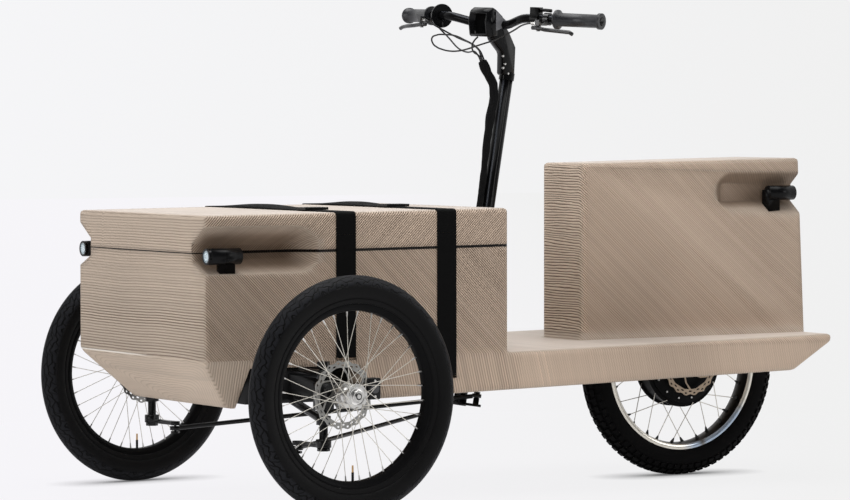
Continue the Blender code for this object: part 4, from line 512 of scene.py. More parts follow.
def in_lamp_notch(at, depth, front):
    return 0.590 < at.x < front and 0.549 < at.z < 0.666 and 0.262 < abs(at.y) < BODY_HALF_WIDTH - depth


clay_body = printed_clay("clay_body", -1.0, True)
clay_lid = printed_clay("clay_lid", 1.0, False)
body_copy = smooth_copy("printed_body", "body", clay_body, 30.0)
lid_copy = smooth_copy("lid", "lid", clay_lid, 30.0)
for piece in (body_copy, lid_copy):
    soften(piece, lambda at: in_lamp_notch(at, 0.0005, 0.8925), lambda at: in_lamp_notch(at, 0.002, 0.880), 30)
    smooth(48.0)


# Webbing straps and their ladder-lock buckles: flat woven black polyester, 52 mm wide, over the lid
# and down the body's sides; the buckles are moulded plastic.

LOOSE_STRAPS = {"front": (-0.320, 0.130, 0.0090), "rear": (-0.310, 0.050, 0.0085)}


def tinted(colour, factor, lift=0.0):
    """A colour made lighter or darker."""
    return tuple(min(1.0, c * factor + lift) for c in colour)


def woven(name, colour, ribs_along, scale):
    """A plain weave: ribs across the band and a finer warp."""
    finish, shader, place = new_finish(name)
    ribs = add_node(place, "TexWave", {"Vector": place, "Scale": scale, "Distortion": 0.4, "Detail": 1.0},
                    wave_type="BANDS", bands_direction=ribs_along)
    fleck = scaled(noise(place, 700.0, 2.0), 0.5, times(ribs.outputs["Fac"], 0.5))
    set_surface(shader, blend(fleck, tinted(colour, 0.55), colour), 0.70, bumped(fleck, 0.5, 0.0006), 0.06)
    return finish


def sliced(low, high, slices, axis):
    """Cuts the active piece into slices of one thickness between two places along an axis."""
    facing = [float(index == axis) for index in range(3)]
    bpy.ops.object.mode_set(mode="EDIT")
    for step in range(1, slices):
        at = low + (high - low) * step / slices
        pick_all()
        bpy.ops.mesh.bisect(plane_co=[at * share for share in facing], plane_no=facing)
    close_edit()


strap_side_finish = woven("strap_webbing_upright", (0.0056, 0.0055, 0.0056), "Z", 210.0)
strap_top_finish = woven("strap_webbing_level", (0.0050, 0.0049, 0.0050), "Y", 210.0)
for which, (low_y, high_y, rise) in LOOSE_STRAPS.items():
    strap = smooth_copy(f"strap_top_{which}", "lid", strap_top_finish)
    low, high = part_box(f"strap_top_{which}")
    sliced(low_y, high_y, 40, 1)
    sliced(low[0], high[0], 4, 0)
    for point in strap.data.vertices:
        at = point.co
        if low_y < at.y < high_y and at.z > high[2] - 0.010:
            swell = math.sin(math.pi * (at.y - low_y) / (high_y - low_y)) ** 1.3
            back = (high[0] - at.x) / (high[0] - low[0])
            at.z += rise * swell * (0.15 + 0.85 * math.sin(back * 1.9))
    for side in ("left", "right"):
        strap = smooth_copy(f"strap_side_{which}_{side}", None, strap_side_finish)
        low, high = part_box(f"strap_side_{which}_{side}")
        sliced(low[2], high[2], 24, 2)
        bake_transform(strap)


def moulded(name, colour, roughness, grain=900.0, depth=0.00015, shine=0.22):
    """Moulded plastic with a fine spark-eroded grain and slight wear."""
    finish, shader, place = new_finish(name)
    cloud = noise(place, 14.0, 3.0)
    set_surface(shader, blend(cloud, colour, tinted(colour, 1.5, 0.004)), scaled(cloud, 0.14, roughness - 0.07),
                bumped(noise(place, grain, 3.0), 0.35, depth, 0.0012), shine)
    return finish


black_moulding = moulded("black_moulding", (0.003, 0.003, 0.0033), 0.34)
for which in ("front", "rear"):
    paint(f"buckle_{which}", black_moulding)


# Lamps: black anodised tubes on feet, in the hollows at the front corners and at the seat's rear. The
# front ones have a clear lens over a faceted reflector; the facets and the reflector's pale blue-white shine,
# a painted reflection, are in the lens's colour.

PAINTED_REFLECTION_SIDE = (-0.8657, 0.5006, 0.0)
TUBE_PAINTED_REFLECTIONS = ((-0.30, -0.12, 0.07, (0.080, 0.085, 0.098)), (0.41, 0.48, 0.05, (0.062, 0.061, 0.060)))
LENS_REFLECTION_DEEP, LENS_REFLECTION_BRIGHT = (0.34, 0.44, 0.50), (0.76, 0.88, 0.94)


def anodised(name, colour, roughness, shine=0.26, painted_reflections=()):
    """Anodised or powder-coated metal with a faint orange peel, and painted soft reflections on tubes."""
    finish, shader, place = new_finish(name)
    cloud = noise(place, 11.0, 3.0)
    coat = blend(cloud, colour, tinted(colour, 1.6, 0.003))
    for low, high, edge, reflection_colour in painted_reflections:
        # Painted reflections: long soft bands of pale colour where the surface faces one way.
        turned = dot(add_node(place, "NewGeometry").outputs["Normal"], PAINTED_REFLECTION_SIDE)
        coat = blend(band(turned, low, high, edge), coat, reflection_colour)
    set_surface(shader, coat, scaled(cloud, 0.12, roughness - 0.06),
                bumped(noise(place, 350.0, 2.0), 0.25, 0.0002, 0.0016), shine)
    return finish


lamp_black = anodised("lamp_black_coat", (0.0022, 0.0022, 0.0025), 0.27, 0.13)
gloss_black = anodised("gloss_black_coat", (0.0022, 0.0022, 0.0026), 0.15, 0.16)
# The coat of the column and handlebar, with two painted reflections of softboxes.
tube_black = anodised("tube_black_coat", (0.0022, 0.0022, 0.0026), 0.18, 0.07, TUBE_PAINTED_REFLECTIONS)
frame_black = anodised("frame_black_coat", (0.003, 0.003, 0.0033), 0.34)

for side in ("left", "right"):
    smooth_copy(f"front_lamp_{side}", "body", lamp_black)
    smooth_copy(f"tail_lamp_{side}", "body", lamp_black)

lens_glass, shader, place = new_finish("lens_with_painted_reflector")
facets = add_node(place, "TexVoronoi", {"Vector": place, "Scale": 210.0}, feature="DISTANCE_TO_EDGE")
facets = facets.outputs["Distance"]
# Painted reflection: the reflector's facets shine pale blue-white, deeper blue at their edges.
glass = blend(mapped(facets, 0.02, 0.25), LENS_REFLECTION_DEEP, LENS_REFLECTION_BRIGHT)
set_surface(shader, glass, 0.12, bumped(facets, 0.6, 0.001))
fill_inputs(shader, {"Coat Weight": 0.6, "Coat Roughness": 0.05})
for side in ("left", "right"):
    paint(f"front_lens_{side}", lens_glass)
lens_rim = moulded("lens_rim", (0.10, 0.15, 0.17), 0.2)


# Front wheels: 20 inch road tyres with a ring groove on the sidewall and wavy cuts in the tread, on
# black rims; each is modelled round the origin with its axle along Y, then put in place.

FRONT_WHEELS = {"left": ((0.62501, 0.5405, 0.277), 4.2, 1), "right": ((0.64315, -0.54332, 0.277), 6.6, -1)}
FRONT_TYRE_R, FRONT_RIM_R = 0.277, 0.212
FRONT_RIM_HALF = FRONT_RIM_DEPTH = 0.017
TYRE_DULL, TYRE_DUSTY = (0.0030, 0.0030, 0.0033), (0.0064, 0.0061, 0.0064)
TREAD_PAINTED_SHEEN, TREAD_CUT_SHADE = (0.0125, 0.0130, 0.0160), (0.0003, 0.0003, 0.0003)


def draw_chain(name, points):
    """A new piece of one point, extruded from place to place; it is left in edit mode."""
    bpy.ops.mesh.primitive_plane_add(size=0.001, location=(0, 0, 0))
    piece = bpy.context.object
    piece.name = name
    edit_all()
    bpy.ops.mesh.select_mode(type="VERT")
    pick_all()
    bpy.ops.mesh.merge(type="CENTER")
    here = Vector(points[0])
    bpy.ops.transform.translate(value=here)
    for there in points[1:]:
        bpy.ops.mesh.extrude_vertices_move(TRANSFORM_OT_translate={"value": Vector(there) - here})
        here = Vector(there)
    pick_all()
    return piece


def spun(name, profile, finish, steps=160, angle=35.0, closed=True):
    """A section drawn in the XY plane as (radius, along the axle), spun round the Y axis."""
    corners = [*profile, profile[0]] if closed else profile
    piece = draw_chain(name, [(out, along, 0.0) for out, along in corners])
    bpy.ops.mesh.remove_doubles(threshold=0.00001)
    pick_all()
    bpy.ops.mesh.spin(steps=steps, angle=math.tau, center=(0, 0, 0), axis=(0, 1, 0))
    pick_all()
    bpy.ops.mesh.remove_doubles(threshold=0.00001)
    bpy.ops.mesh.normals_make_consistent(inside=False)
    close_edit()
    smooth(angle)
    piece.data.materials.append(finish)
    return piece


def put(piece, centre, turn_deg=0.0):
    """Turns a piece about Z, moves it and writes its place into its mesh."""
    make_active(piece)
    piece.rotation_euler = (0.0, 0.0, math.radians(turn_deg))
    piece.location = centre
    bpy.ops.object.transform_apply()
    return piece


def twin(piece, name):
    """A copy of a piece with its own mesh."""
    copy = piece.copy()
    copy.data = piece.data.copy()
    copy.name = name
    bpy.context.scene.collection.objects.link(copy)
    return copy


def wheel_axes(place, centre, turn_deg):
    """A place turned and centred on a wheel: forward, along the axle, up."""
    moved = add_node(place, "VectorMath", {0: place, 1: centre}, operation="SUBTRACT").outputs[0]
    back = add_node(place, "VectorRotate", {"Vector": moved, "Angle": math.radians(-turn_deg)},
                    rotation_type="Z_AXIS")
    return add_node(place, "SeparateXYZ", {0: back.outputs[0]}).outputs


def tread_cuts(angle, radius, across):
    """Two masks: 1 on the round crown, and 1 outside the wavy grooves and their cross cuts."""
    wave = times(calc("SINE", times(angle, 33.0)), 0.0034)
    ripple = times(calc("SINE", scaled(angle, 85.0, 1.3)), 0.0013)
    track = calc("ADD", across, calc("ADD", wave, ripple))
    lane = calc("DIVIDE", track, 0.0098)
    row = times(calc("FLOOR", lane), 0.37)
    link = scaled(track, 46.0, scaled(angle, 10.5, row))
    off_link = times(calc("PINGPONG", link, 0.5), 2.6)
    nearest = calc("MINIMUM", calc("PINGPONG", lane, 0.5), off_link)
    in_cut = calc("SUBTRACT", 1.0, mapped(nearest, 0.08, 0.15))
    crown = mapped(radius, 0.252, 0.257)
    return crown, calc("SUBTRACT", 1.0, times(crown, in_cut))


def tyre_rubber(name, centre, turn_deg, tread):
    """Black rubber, a touch dusty, with wavy cuts in painted shade and a painted sheen on a tread's crown."""
    finish, shader, place = new_finish(name)
    x, y, z = wheel_axes(place, centre, turn_deg)
    cloud = noise(place, 22.0, 4.0)
    colour = blend(cloud, TYRE_DULL, TYRE_DUSTY)
    height = times(noise(place, 800.0, 2.0), 0.12)
    if tread:
        crown, keep = tread_cuts(calc("ARCTAN2", z, x), length(x, z), y)
        height = calc("ADD", height, times(keep, 5.0))
        # Painted sheen: the crown lighter and bluish; painted shade: the cuts nearly black.
        painted_sheen = blend(times(crown, 0.85), colour, TREAD_PAINTED_SHEEN)
        colour = blend(keep, TREAD_CUT_SHADE, painted_sheen)
    set_surface(shader, colour, scaled(cloud, 0.15, 0.50), bumped(height, 0.8, 0.0009), 0.12 if tread else 0.04)
    return finish


def flipped(half):
    """The other half of a section, drawn from the middle out."""
    return [(r, -y) for r, y in reversed(half)]


def place_twin(model, node_name, centre, turn_deg, body):
    """Puts a detailed twin of a model where a CAD node is."""
    piece = put(twin(model, f"{node_name}_detailed"), centre, turn_deg)
    return assign(piece, body, node_name)


# Sidewall with a raised ring and a groove, shoulder and round crown.
FRONT_TYRE_HALF = [
    (0.2125, 0.0170), (0.2160, 0.0196), (0.2200, 0.0210), (0.2225, 0.0216), (0.2235, 0.0207), (0.2250, 0.0207),
    (0.2260, 0.0222), (0.2300, 0.0246), (0.2360, 0.0266), (0.2430, 0.0278), (0.2500, 0.0279), (0.2540, 0.0274),
    (0.2550, 0.0266), (0.2560, 0.0270), (0.2600, 0.0252), (0.2650, 0.0213), (0.2700, 0.0160), (0.2740, 0.0105),
    (0.2762, 0.0052)]


def rim_section(rim_r, half, depth):
    """Hooked edges, a side wall and a shallow well."""
    edge = [(rim_r, half), (rim_r + 0.0003, half - 0.0012), (rim_r - 0.0015, half - 0.0022)]
    wall = [(rim_r - 0.004, -half), (rim_r - depth * 0.55, -half * 0.86), (rim_r - depth * 0.92, -half * 0.58),
            (rim_r - depth, -half * 0.30)]
    return [*edge, *flipped(edge), *wall, *flipped(wall)]


rim_black = anodised("rim_black_coat", (0.0028, 0.0028, 0.0031), 0.34, 0.05)
tyre_section = [*FRONT_TYRE_HALF, (FRONT_TYRE_R, 0.0), *flipped(FRONT_TYRE_HALF)]
tyre_model = spun("front_tyre_model", tyre_section, rim_black)
rim_model = spun("front_rim_model", rim_section(FRONT_RIM_R, FRONT_RIM_HALF, FRONT_RIM_DEPTH), rim_black)
for side, (centre, turn_deg, out) in FRONT_WHEELS.items():
    body = f"front_wheel_{side}"
    tyre = place_twin(tyre_model, f"front_tyre_{side}", centre, turn_deg, body)
    tyre.data.materials.clear()
    tyre.data.materials.append(tyre_rubber(f"front_tyre_rubber_{side}", centre, turn_deg, True))
    place_twin(rim_model, f"front_rim_{side}", centre, turn_deg, body)
for model in (tyre_model, rim_model):
    bpy.data.objects.remove(model, do_unlink=True)


# Front lamps' rings: a turned black bezel that holds each lens in the tube's end, and a thin blue-grey
# ring of moulded plastic on the glass.

LAMP_FACE_X, LAMP_SIDE_Y, LAMP_HEIGHT = 0.892, 0.330, 0.594
BEZEL_SECTION = [(0.0138, 0.0003), (0.0142, 0.0009), (0.0182, 0.0009), (0.0190, 0.0000), (0.0190, -0.0064),
                 (0.0163, -0.0064), (0.0163, 0.0003)]
RING_SECTION = [(0.0108, 0.0001), (0.0114, 0.0005), (0.0122, 0.0001), (0.0114, -0.0006)]
lamp_rings = ((BEZEL_SECTION, "bezel", gloss_black), (RING_SECTION, "reflector_ring", lens_rim))
for side, out in (("left", 1), ("right", -1)):
    for section, name, finish in lamp_rings:
        ring = spun(f"front_lamp_{name}_{side}", section, finish, 48)
        put(ring, (LAMP_FACE_X, out * LAMP_SIDE_Y, LAMP_HEIGHT), -90.0)
        assign(ring, "body")


# Front hubs, spokes and nipples: a turned silver shell with two flanges and a cap, laced to the rim
# with bright steel spokes that end in plated nipples; a brass-tipped valve.

def polished(name, colour, roughness, grain=140.0, metallic=1.0):
    """Bright metal with small dull patches."""
    finish, shader, place = new_finish(name)
    cloud = noise(place, grain, 4.0)
    set_surface(shader, blend(cloud, tinted(colour, 0.72), colour), scaled(cloud, 0.18, roughness - 0.06),
                bumped(cloud, 0.15, 0.0002), metallic=metallic)
    return finish


spoke_steel = polished("spoke_steel", (0.84, 0.80, 0.72), 0.30, metallic=0.45)
hub_silver = polished("hub_silver", (0.80, 0.79, 0.77), 0.26)
disc_steel = polished("disc_steel", (0.42, 0.415, 0.40), 0.32, 90.0)
nipple_steel = polished("nipple_steel", (0.70, 0.69, 0.67), 0.30)
valve_brass = polished("valve_brass", (0.80, 0.50, 0.24), 0.30)


def joined(pieces, name):
    """Joins pieces into the first and names it."""
    bpy.ops.object.select_all(action="DESELECT")
    for piece in pieces:
        piece.select_set(True)
    bpy.context.view_layer.objects.active = pieces[0]
    bpy.ops.object.join()
    bpy.ops.object.transform_apply()
    pieces[0].name = name
    return pieces[0]


def rod_between(start, end, radius, finish, vertices=10, end_radius=None):
    """A cylinder laid between two points, or a cone where it ends in another radius."""
    start, end = Vector(start), Vector(end)
    turn = (end - start).to_track_quat("Z", "Y").to_euler()
    bpy.ops.mesh.primitive_cone_add(vertices=vertices, radius1=radius, radius2=end_radius or radius,
                                    depth=(end - start).length, location=(start + end) / 2, rotation=turn)
    piece = bpy.context.object
    smooth(40)
    piece.data.materials.append(finish)
    return piece


def on_circle(radius, angle, along=0.0):
    """A place round the Y axis."""
    return Vector((math.cos(angle) * radius, along, math.sin(angle) * radius))


def laced_wheel(count, hub_r, flanges, rim_r, rim_y, cross_deg, spoke_r, nipple, nipple_foot):
    """Spokes and nipples of one wheel round the Y axis, as two joined pieces."""
    spokes, nipples = [], []
    per_flange = count // 2
    for out, flange_y, offset in ((1, flanges[0], 0.25), (-1, flanges[1], 0.75)):
        for index in range(per_flange):
            sweep = cross_deg if index % 2 else -cross_deg
            lean = 0.0030 if index % 2 else -0.0024
            angle = math.tau * (index + offset) / per_flange
            start = on_circle(hub_r - 0.004, angle, out * (flange_y + lean))
            end = on_circle(rim_r, angle + math.radians(sweep), out * rim_y)
            inward = (start - end).normalized()
            spokes.append(rod_between(start, end, spoke_r, spoke_steel, 8))
            foot, tip = end - inward * 0.001, end + inward * 0.012
            nipples.append(rod_between(foot, tip, nipple_foot, nipple, 8, 0.0016))
    return joined(spokes, "spokes"), joined(nipples, "nipples")


# Cap, shell and flanges of a front hub, from the outer end inwards.
HUB_SECTION = [
    (0.0, 0.0280), (0.0050, 0.0280), (0.0056, 0.0268), (0.0075, 0.0268), (0.0090, 0.0258), (0.0090, 0.0240),
    (0.0128, 0.0240), (0.0138, 0.0230), (0.0140, 0.0198), (0.0176, 0.0190), (0.0190, 0.0196), (0.0210, 0.0196),
    (0.0222, 0.0188), (0.0285, 0.0186), (0.0290, 0.0180), (0.0290, 0.0164), (0.0284, 0.0160),
    (0.0190, 0.0152), (0.0160, 0.0140), (0.0150, 0.0120), (0.0150, -0.0120), (0.0160, -0.0180),
    (0.0190, -0.0210), (0.0284, -0.0222), (0.0290, -0.0228), (0.0290, -0.0256), (0.0215, -0.0262),
    (0.0215, -0.0384), (0.0, -0.0384)]
RIM_INSIDE = FRONT_RIM_R - FRONT_RIM_DEPTH
VALVE_PARTS = ((-0.002, 0.020, 0.0031, black_moulding, 0.0031), (0.018, 0.036, 0.0024, valve_brass, 0.0021))
hub_model = spun("front_hub_model", HUB_SECTION, hub_silver, 64, 30.0, closed=False)
spoke_model, nipple_model = laced_wheel(
    count=36, hub_r=0.029, flanges=(0.0175, 0.024), rim_r=RIM_INSIDE, rim_y=0.003, cross_deg=60,
    spoke_r=0.00085, nipple=nipple_steel, nipple_foot=0.0024)
for side, (centre, turn_deg, out) in FRONT_WHEELS.items():
    body = f"front_wheel_{side}"
    hub = twin(hub_model, f"front_hub_{side}_detailed")
    if out < 0:
        put(hub, (0.0, 0.0, 0.0), 180.0)
    assign(put(hub, centre, turn_deg), body, f"front_hub_{side}")
    for model, name in ((spoke_model, "spokes"), (nipple_model, "nipples")):
        assign(put(twin(model, f"front_{name}_{side}"), centre, turn_deg), body)
    valve = []
    for low, high, radius, finish, end_radius in VALVE_PARTS:
        start, end = (0.0, 0.0, low - RIM_INSIDE), (0.0, 0.0, high - RIM_INSIDE)
        valve.append(rod_between(start, end, radius, finish, 14, end_radius))
    assign(put(joined(valve, f"front_valve_{side}"), centre, turn_deg), body)
for model in (hub_model, spoke_model, nipple_model):
    bpy.data.objects.remove(model, do_unlink=True)


# Brake discs: 2 mm stainless plates, each with a scalloped rim full of holes, swept arms and a ring of
# six bolts. One flat outline with its openings is filled and given its thickness.

DISC_THICK = 0.002
DISC_INSET = 0.040
SCALLOPS, DISC_ARMS = 18, 6
ARM_OPENING = ((0.0635, 0.475), (0.0645, 0.24), (0.0645, -0.24), (0.0635, -0.475), (0.0480, -0.205),
               (0.0330, 0.08), (0.0320, 0.53), (0.0330, 0.97), (0.0480, 0.735))


def hole_loop(centre_r, angle, radius, stretch=1.0, count=10):
    """A round or stretched opening at a place on the disc."""
    middle = Vector((centre_r * math.cos(angle), centre_r * math.sin(angle)))
    out = Vector((math.cos(angle), math.sin(angle)))
    across = Vector((-out.y, out.x))
    loop = []
    for step in range(count):
        t = math.tau * step / count
        loop.append(middle + out * radius * math.cos(t) + across * radius * stretch * math.sin(t))
    return loop


def disc_loops():
    """The disc's scalloped outline and its openings, as flat loops."""
    outline = []
    for step in range(180):
        t = math.tau * step / 180
        radius = 0.0780 + 0.0019 * math.cos(SCALLOPS * t)
        outline.append(Vector((radius * math.cos(t), radius * math.sin(t))))
    loops = [outline, hole_loop(0.0, 0.0, 0.0190, 1.0, 40)]
    for index in range(SCALLOPS):
        angle = math.tau * index / SCALLOPS
        loops.append(hole_loop(0.0740, angle, 0.0023, 1.6))
        loops.append(hole_loop(0.0686, angle + 0.17, 0.0019, 2.6))
    for index in range(DISC_ARMS):
        angle = math.tau * index / DISC_ARMS
        loops.append([Vector((r * math.cos(angle + a), r * math.sin(angle + a))) for r, a in ARM_OPENING])
        loops.append(hole_loop(0.0258, angle + 1.05, 0.0016, 1.0, 8))
    return loops


def disc_model(name):
    """The disc round Y, its outline drawn in a flat curve that is then made a mesh."""
    curve = bpy.data.curves.new(name, "CURVE")
    curve.dimensions = "2D"
    curve.fill_mode = "BOTH"
    curve.extrude = DISC_THICK / 2
    for loop in disc_loops():
        spline = curve.splines.new("POLY")
        spline.points.add(len(loop) - 1)
        for point, corner in zip(spline.points, loop):
            point.co = (corner.x, corner.y, 0.0, 1.0)
        spline.use_cyclic_u = True
    piece = bpy.data.objects.new(name, curve)
    bpy.context.scene.collection.objects.link(piece)
    make_active(piece)
    bpy.ops.object.convert(target="MESH")
    piece = bpy.context.object
    piece.rotation_euler = (math.pi / 2, 0.0, 0.0)
    bpy.ops.object.transform_apply()
    half_bolt = Vector((0, 0.0030, 0))
    bolts = []
    for index in range(DISC_ARMS):
        place = on_circle(0.0222, math.tau * index / DISC_ARMS + 0.52)
        bolts.append(rod_between(place - half_bolt, place + half_bolt, 0.0030, nipple_steel, 10))
    piece.data.materials.clear()
    piece.data.materials.append(disc_steel)
    return joined([piece, *bolts], name)


def from_hub(centre, turn_deg, offset):
    """A place given from a front wheel's centre, turned with the wheel."""
    return Vector(centre) + Matrix.Rotation(math.radians(turn_deg), 3, "Z") @ Vector(offset)


REAR_WHEEL, REAR_DISC_Y = (-0.622, 0.0, 0.284), 0.060
disc_source = disc_model("disc_source")
for side, (centre, turn_deg, out) in FRONT_WHEELS.items():
    place = from_hub(centre, turn_deg, (0.0, -out * DISC_INSET, 0.0))
    place_twin(disc_source, f"front_disc_{side}", place, turn_deg, f"front_wheel_{side}")
place = (REAR_WHEEL[0], REAR_DISC_Y, REAR_WHEEL[2])
rear_disc = place_twin(disc_source, "rear_disc", place, 0.0, "rear_wheel")
rear_disc.data.materials[0] = polished("rear_disc_bronzed", (0.46, 0.36, 0.27), 0.36, 90.0)
bpy.data.objects.remove(disc_source, do_unlink=True)


# Front axle, knuckles, calipers and drag links: welded and cast steel under a black coat, with a grey
# piston cap and two plated bolts on each caliper.

for side in ("left", "right"):
    smooth_copy(f"knuckle_{side}", f"knuckle_{side}", frame_black)
    smooth_copy(f"drag_link_{side}", f"drag_link_{side}", frame_black)
smooth_copy("front_frame", "body", frame_black)
caliper_grey = polished("caliper_grey", (0.14, 0.14, 0.145), 0.36, 60.0)


def eased_block(name, size, place, finish, width=0.004):
    """A cast block with rounded edges."""
    bpy.ops.mesh.primitive_cube_add(size=1.0, location=place)
    piece = bpy.context.object
    piece.name = name
    piece.scale = size
    bpy.ops.object.transform_apply()
    edit_all()
    bpy.ops.mesh.bevel(offset=width, segments=3)
    close_edit()
    smooth(40)
    piece.data.materials.append(finish)
    return piece


def caliper_model(name, out):
    """Two cast halves either side of the disc with a piston cap and two through bolts."""
    parts = [eased_block(name, (0.034, 0.0095, 0.050), (0.0, away * out * 0.0078, 0.0), frame_black)
             for away in (-1, 1)]
    parts.append(eased_block(name, (0.009, 0.0200, 0.048), (-0.0140, 0.0, 0.0), frame_black, 0.003))
    caps = ((0.0, 0.0125, caliper_grey), (0.018, 0.0035, hub_silver), (-0.018, 0.0035, hub_silver))
    for height, radius, finish in caps:
        start, end = (0.0, out * 0.0115, height), (0.0, out * 0.0142, height)
        parts.append(rod_between(start, end, radius, finish, 24, radius * 0.86))
    return joined(parts, name)


for side, (centre, turn_deg, out) in FRONT_WHEELS.items():
    caliper = caliper_model(f"front_caliper_{side}_detailed", out)
    low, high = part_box(f"front_caliper_{side}")
    place = from_hub(centre, turn_deg, (-0.080, -out * DISC_INSET, 0.012))
    put(caliper, (place.x, place.y, (low[2] + high[2]) / 2), turn_deg)
    assign(caliper, f"knuckle_{side}", f"front_caliper_{side}")


# Rear wheel: a block-tread moped tyre on a chromed steel rim, short spokes and a black hub motor with
# a ring of screws on each face; dropout plates, axle and caliper are inside the well.

REAR_TYRE_R, REAR_RIM_R = 0.284, 0.219
KNOB, KNOB_COUNT = 0.0048, 78
KNOB_ROOT = 0.002
KNOB_ROWS = ((0.0, 0.0, REAR_TYRE_R - KNOB, 0.0150, 0.0150, 0.0), (0.0170, 24.0, 0.2722, 0.0150, 0.0120, 0.5),
             (-0.0170, -24.0, 0.2722, 0.0150, 0.0120, 0.5), (0.0290, 58.0, 0.2610, 0.0135, 0.0120, 0.0),
             (-0.0290, -58.0, 0.2610, 0.0135, 0.0120, 0.0))
REAR_TYRE_HALF = [
    (0.2195, 0.0260), (0.2230, 0.0285), (0.2290, 0.0312), (0.2360, 0.0330), (0.2430, 0.0338), (0.2500, 0.0335),
    (0.2560, 0.0318), (0.2620, 0.0285), (0.2680, 0.0230), (0.2730, 0.0160), (0.2765, 0.0080)]

rear_rubber = tyre_rubber("rear_tyre_rubber", REAR_WHEEL, 0.0, False)
tyre_section = [*REAR_TYRE_HALF, (REAR_TYRE_R - KNOB, 0.0), *flipped(REAR_TYRE_HALF)]
tyre = spun("rear_tyre_carcass", tyre_section, rear_rubber, 128)
knobs = []
for across, tilt, base, long, wide, shift in KNOB_ROWS:
    bpy.ops.mesh.primitive_cube_add(size=1.0)
    knob = bpy.context.object
    knob.scale = (long, wide, KNOB + KNOB_ROOT)
    knob.rotation_euler = (-math.radians(tilt), 0.0, 0.0)
    knob.location = (0.0, across, base + (KNOB - KNOB_ROOT) / 2 * math.cos(math.radians(tilt)))
    bpy.ops.object.transform_apply()
    for index in range(KNOB_COUNT):
        copy = twin(knob, "knob")
        copy.rotation_euler = (0.0, math.tau * (index + shift) / KNOB_COUNT, 0.0)
        copy.data.materials.append(rear_rubber)
        knobs.append(copy)
    bpy.data.objects.remove(knob, do_unlink=True)
tread = joined(knobs, "rear_tread_blocks")
assign(put(joined([tyre, tread], "rear_tyre_detailed"), REAR_WHEEL), "rear_wheel", "rear_tyre")

rim_bed = polished("rim_bed", (0.028, 0.026, 0.024), 0.42, 60.0)
rim_chrome, shader, place = new_finish("rim_chrome")
x, y, z = wheel_axes(place, REAR_WHEEL, 0.0)
angle = calc("ARCTAN2", z, x)
patches = add_node(angle, "TexNoise", {"W": times(angle, 2.2), "Scale": 1.5, "Detail": 2.0},
                   noise_dimensions="1D").outputs["Fac"]
# Painted reflections on the chrome: a soft blue band of sky low towards the rear, and dark patches with one
# narrow dark band.
blue = times(band(angle, -2.55, -1.66, 0.12), 0.8)
painted_dark_reflection = calc("MAXIMUM", ramp(patches, 0.42, 0.32), band(angle, -1.90, -1.83, 0.04))
colour = blend(blue, (0.86, 0.82, 0.74), (0.34, 0.47, 0.66))
set_surface(shader, blend(painted_dark_reflection, colour, (0.20, 0.19, 0.18)), scaled(patches, 0.10, 0.10), metallic=0.55)
RIM_EDGE = [(0.2190, 0.0262), (0.2194, 0.0250), (0.2178, 0.0238)]
RIM_WALL = [(0.2160, -0.0270), (0.2090, -0.0262), (0.2060, -0.0240), (0.2040, -0.0150), (0.2020, -0.0080)]
rim_loop = [*RIM_EDGE, *flipped(RIM_EDGE), *RIM_WALL, *flipped(RIM_WALL)]
rim = spun("rear_rim_detailed", rim_loop, rim_bed)
rim.data.materials.append(rim_chrome)
for face in rim.data.polygons:
    face.material_index = int(abs(face.center.y) > 0.0245 and abs(face.normal.y) > 0.15)
assign(put(rim, REAR_WHEEL), "rear_wheel", "rear_rim")

MOTOR_SECTION = [
    (0.0, 0.058), (0.0215, 0.058), (0.0220, 0.0465), (0.0560, 0.0445), (0.0680, 0.0420), (0.0960, 0.0335),
    (0.1000, 0.0318), (0.1000, 0.0285), (0.1100, 0.0280), (0.1100, 0.0240), (0.1040, 0.0225), (0.1040, -0.0225),
    (0.1100, -0.0240), (0.1100, -0.0280), (0.1000, -0.0285), (0.1000, -0.0318), (0.0960, -0.0335),
    (0.0680, -0.0420), (0.0560, -0.0445), (0.0220, -0.0465), (0.0215, -0.0515), (0.0, -0.0515)]
MOTOR_SCREWS = 14
motor_black = anodised("motor_black_coat", (0.0016, 0.0016, 0.0017), 0.38, 0.05)
motor = [spun("motor_shell", MOTOR_SECTION, motor_black, 96, 30.0, closed=False)]
for out in (1, -1):
    for index in range(MOTOR_SCREWS):
        place = on_circle(0.0885, math.tau * index / MOTOR_SCREWS, out * 0.0350)
        motor.append(rod_between(place, place + Vector((0, out * 0.0040, 0)), 0.0024, nipple_steel, 10))
motor = put(joined(motor, "rear_hub_motor_detailed"), REAR_WHEEL)
assign(motor, "rear_wheel", "rear_hub_motor")
black_nipple = anodised("nipple_black", (0.02, 0.02, 0.02), 0.3)
spokes, nipples = laced_wheel(
    count=32, hub_r=0.108, flanges=(0.026, 0.026), rim_r=REAR_RIM_R - 0.017, rim_y=0.006, cross_deg=22.5,
    spoke_r=0.0011, nipple=black_nipple, nipple_foot=0.0052)
for piece, name in ((spokes, "rear_spokes"), (nipples, "rear_nipples")):
    piece.name = name
    assign(put(piece, REAR_WHEEL), "rear_wheel")
paint("rear_caliper", frame_black)
paint("rear_frame", frame_black)
paint("rear_axle", hub_silver)


# Steering column, stem and handlebar: black powder-coated tubes. The grips are black rubber, the brake
# levers coated metal and the switches moulded plastic; the bolts are plated.

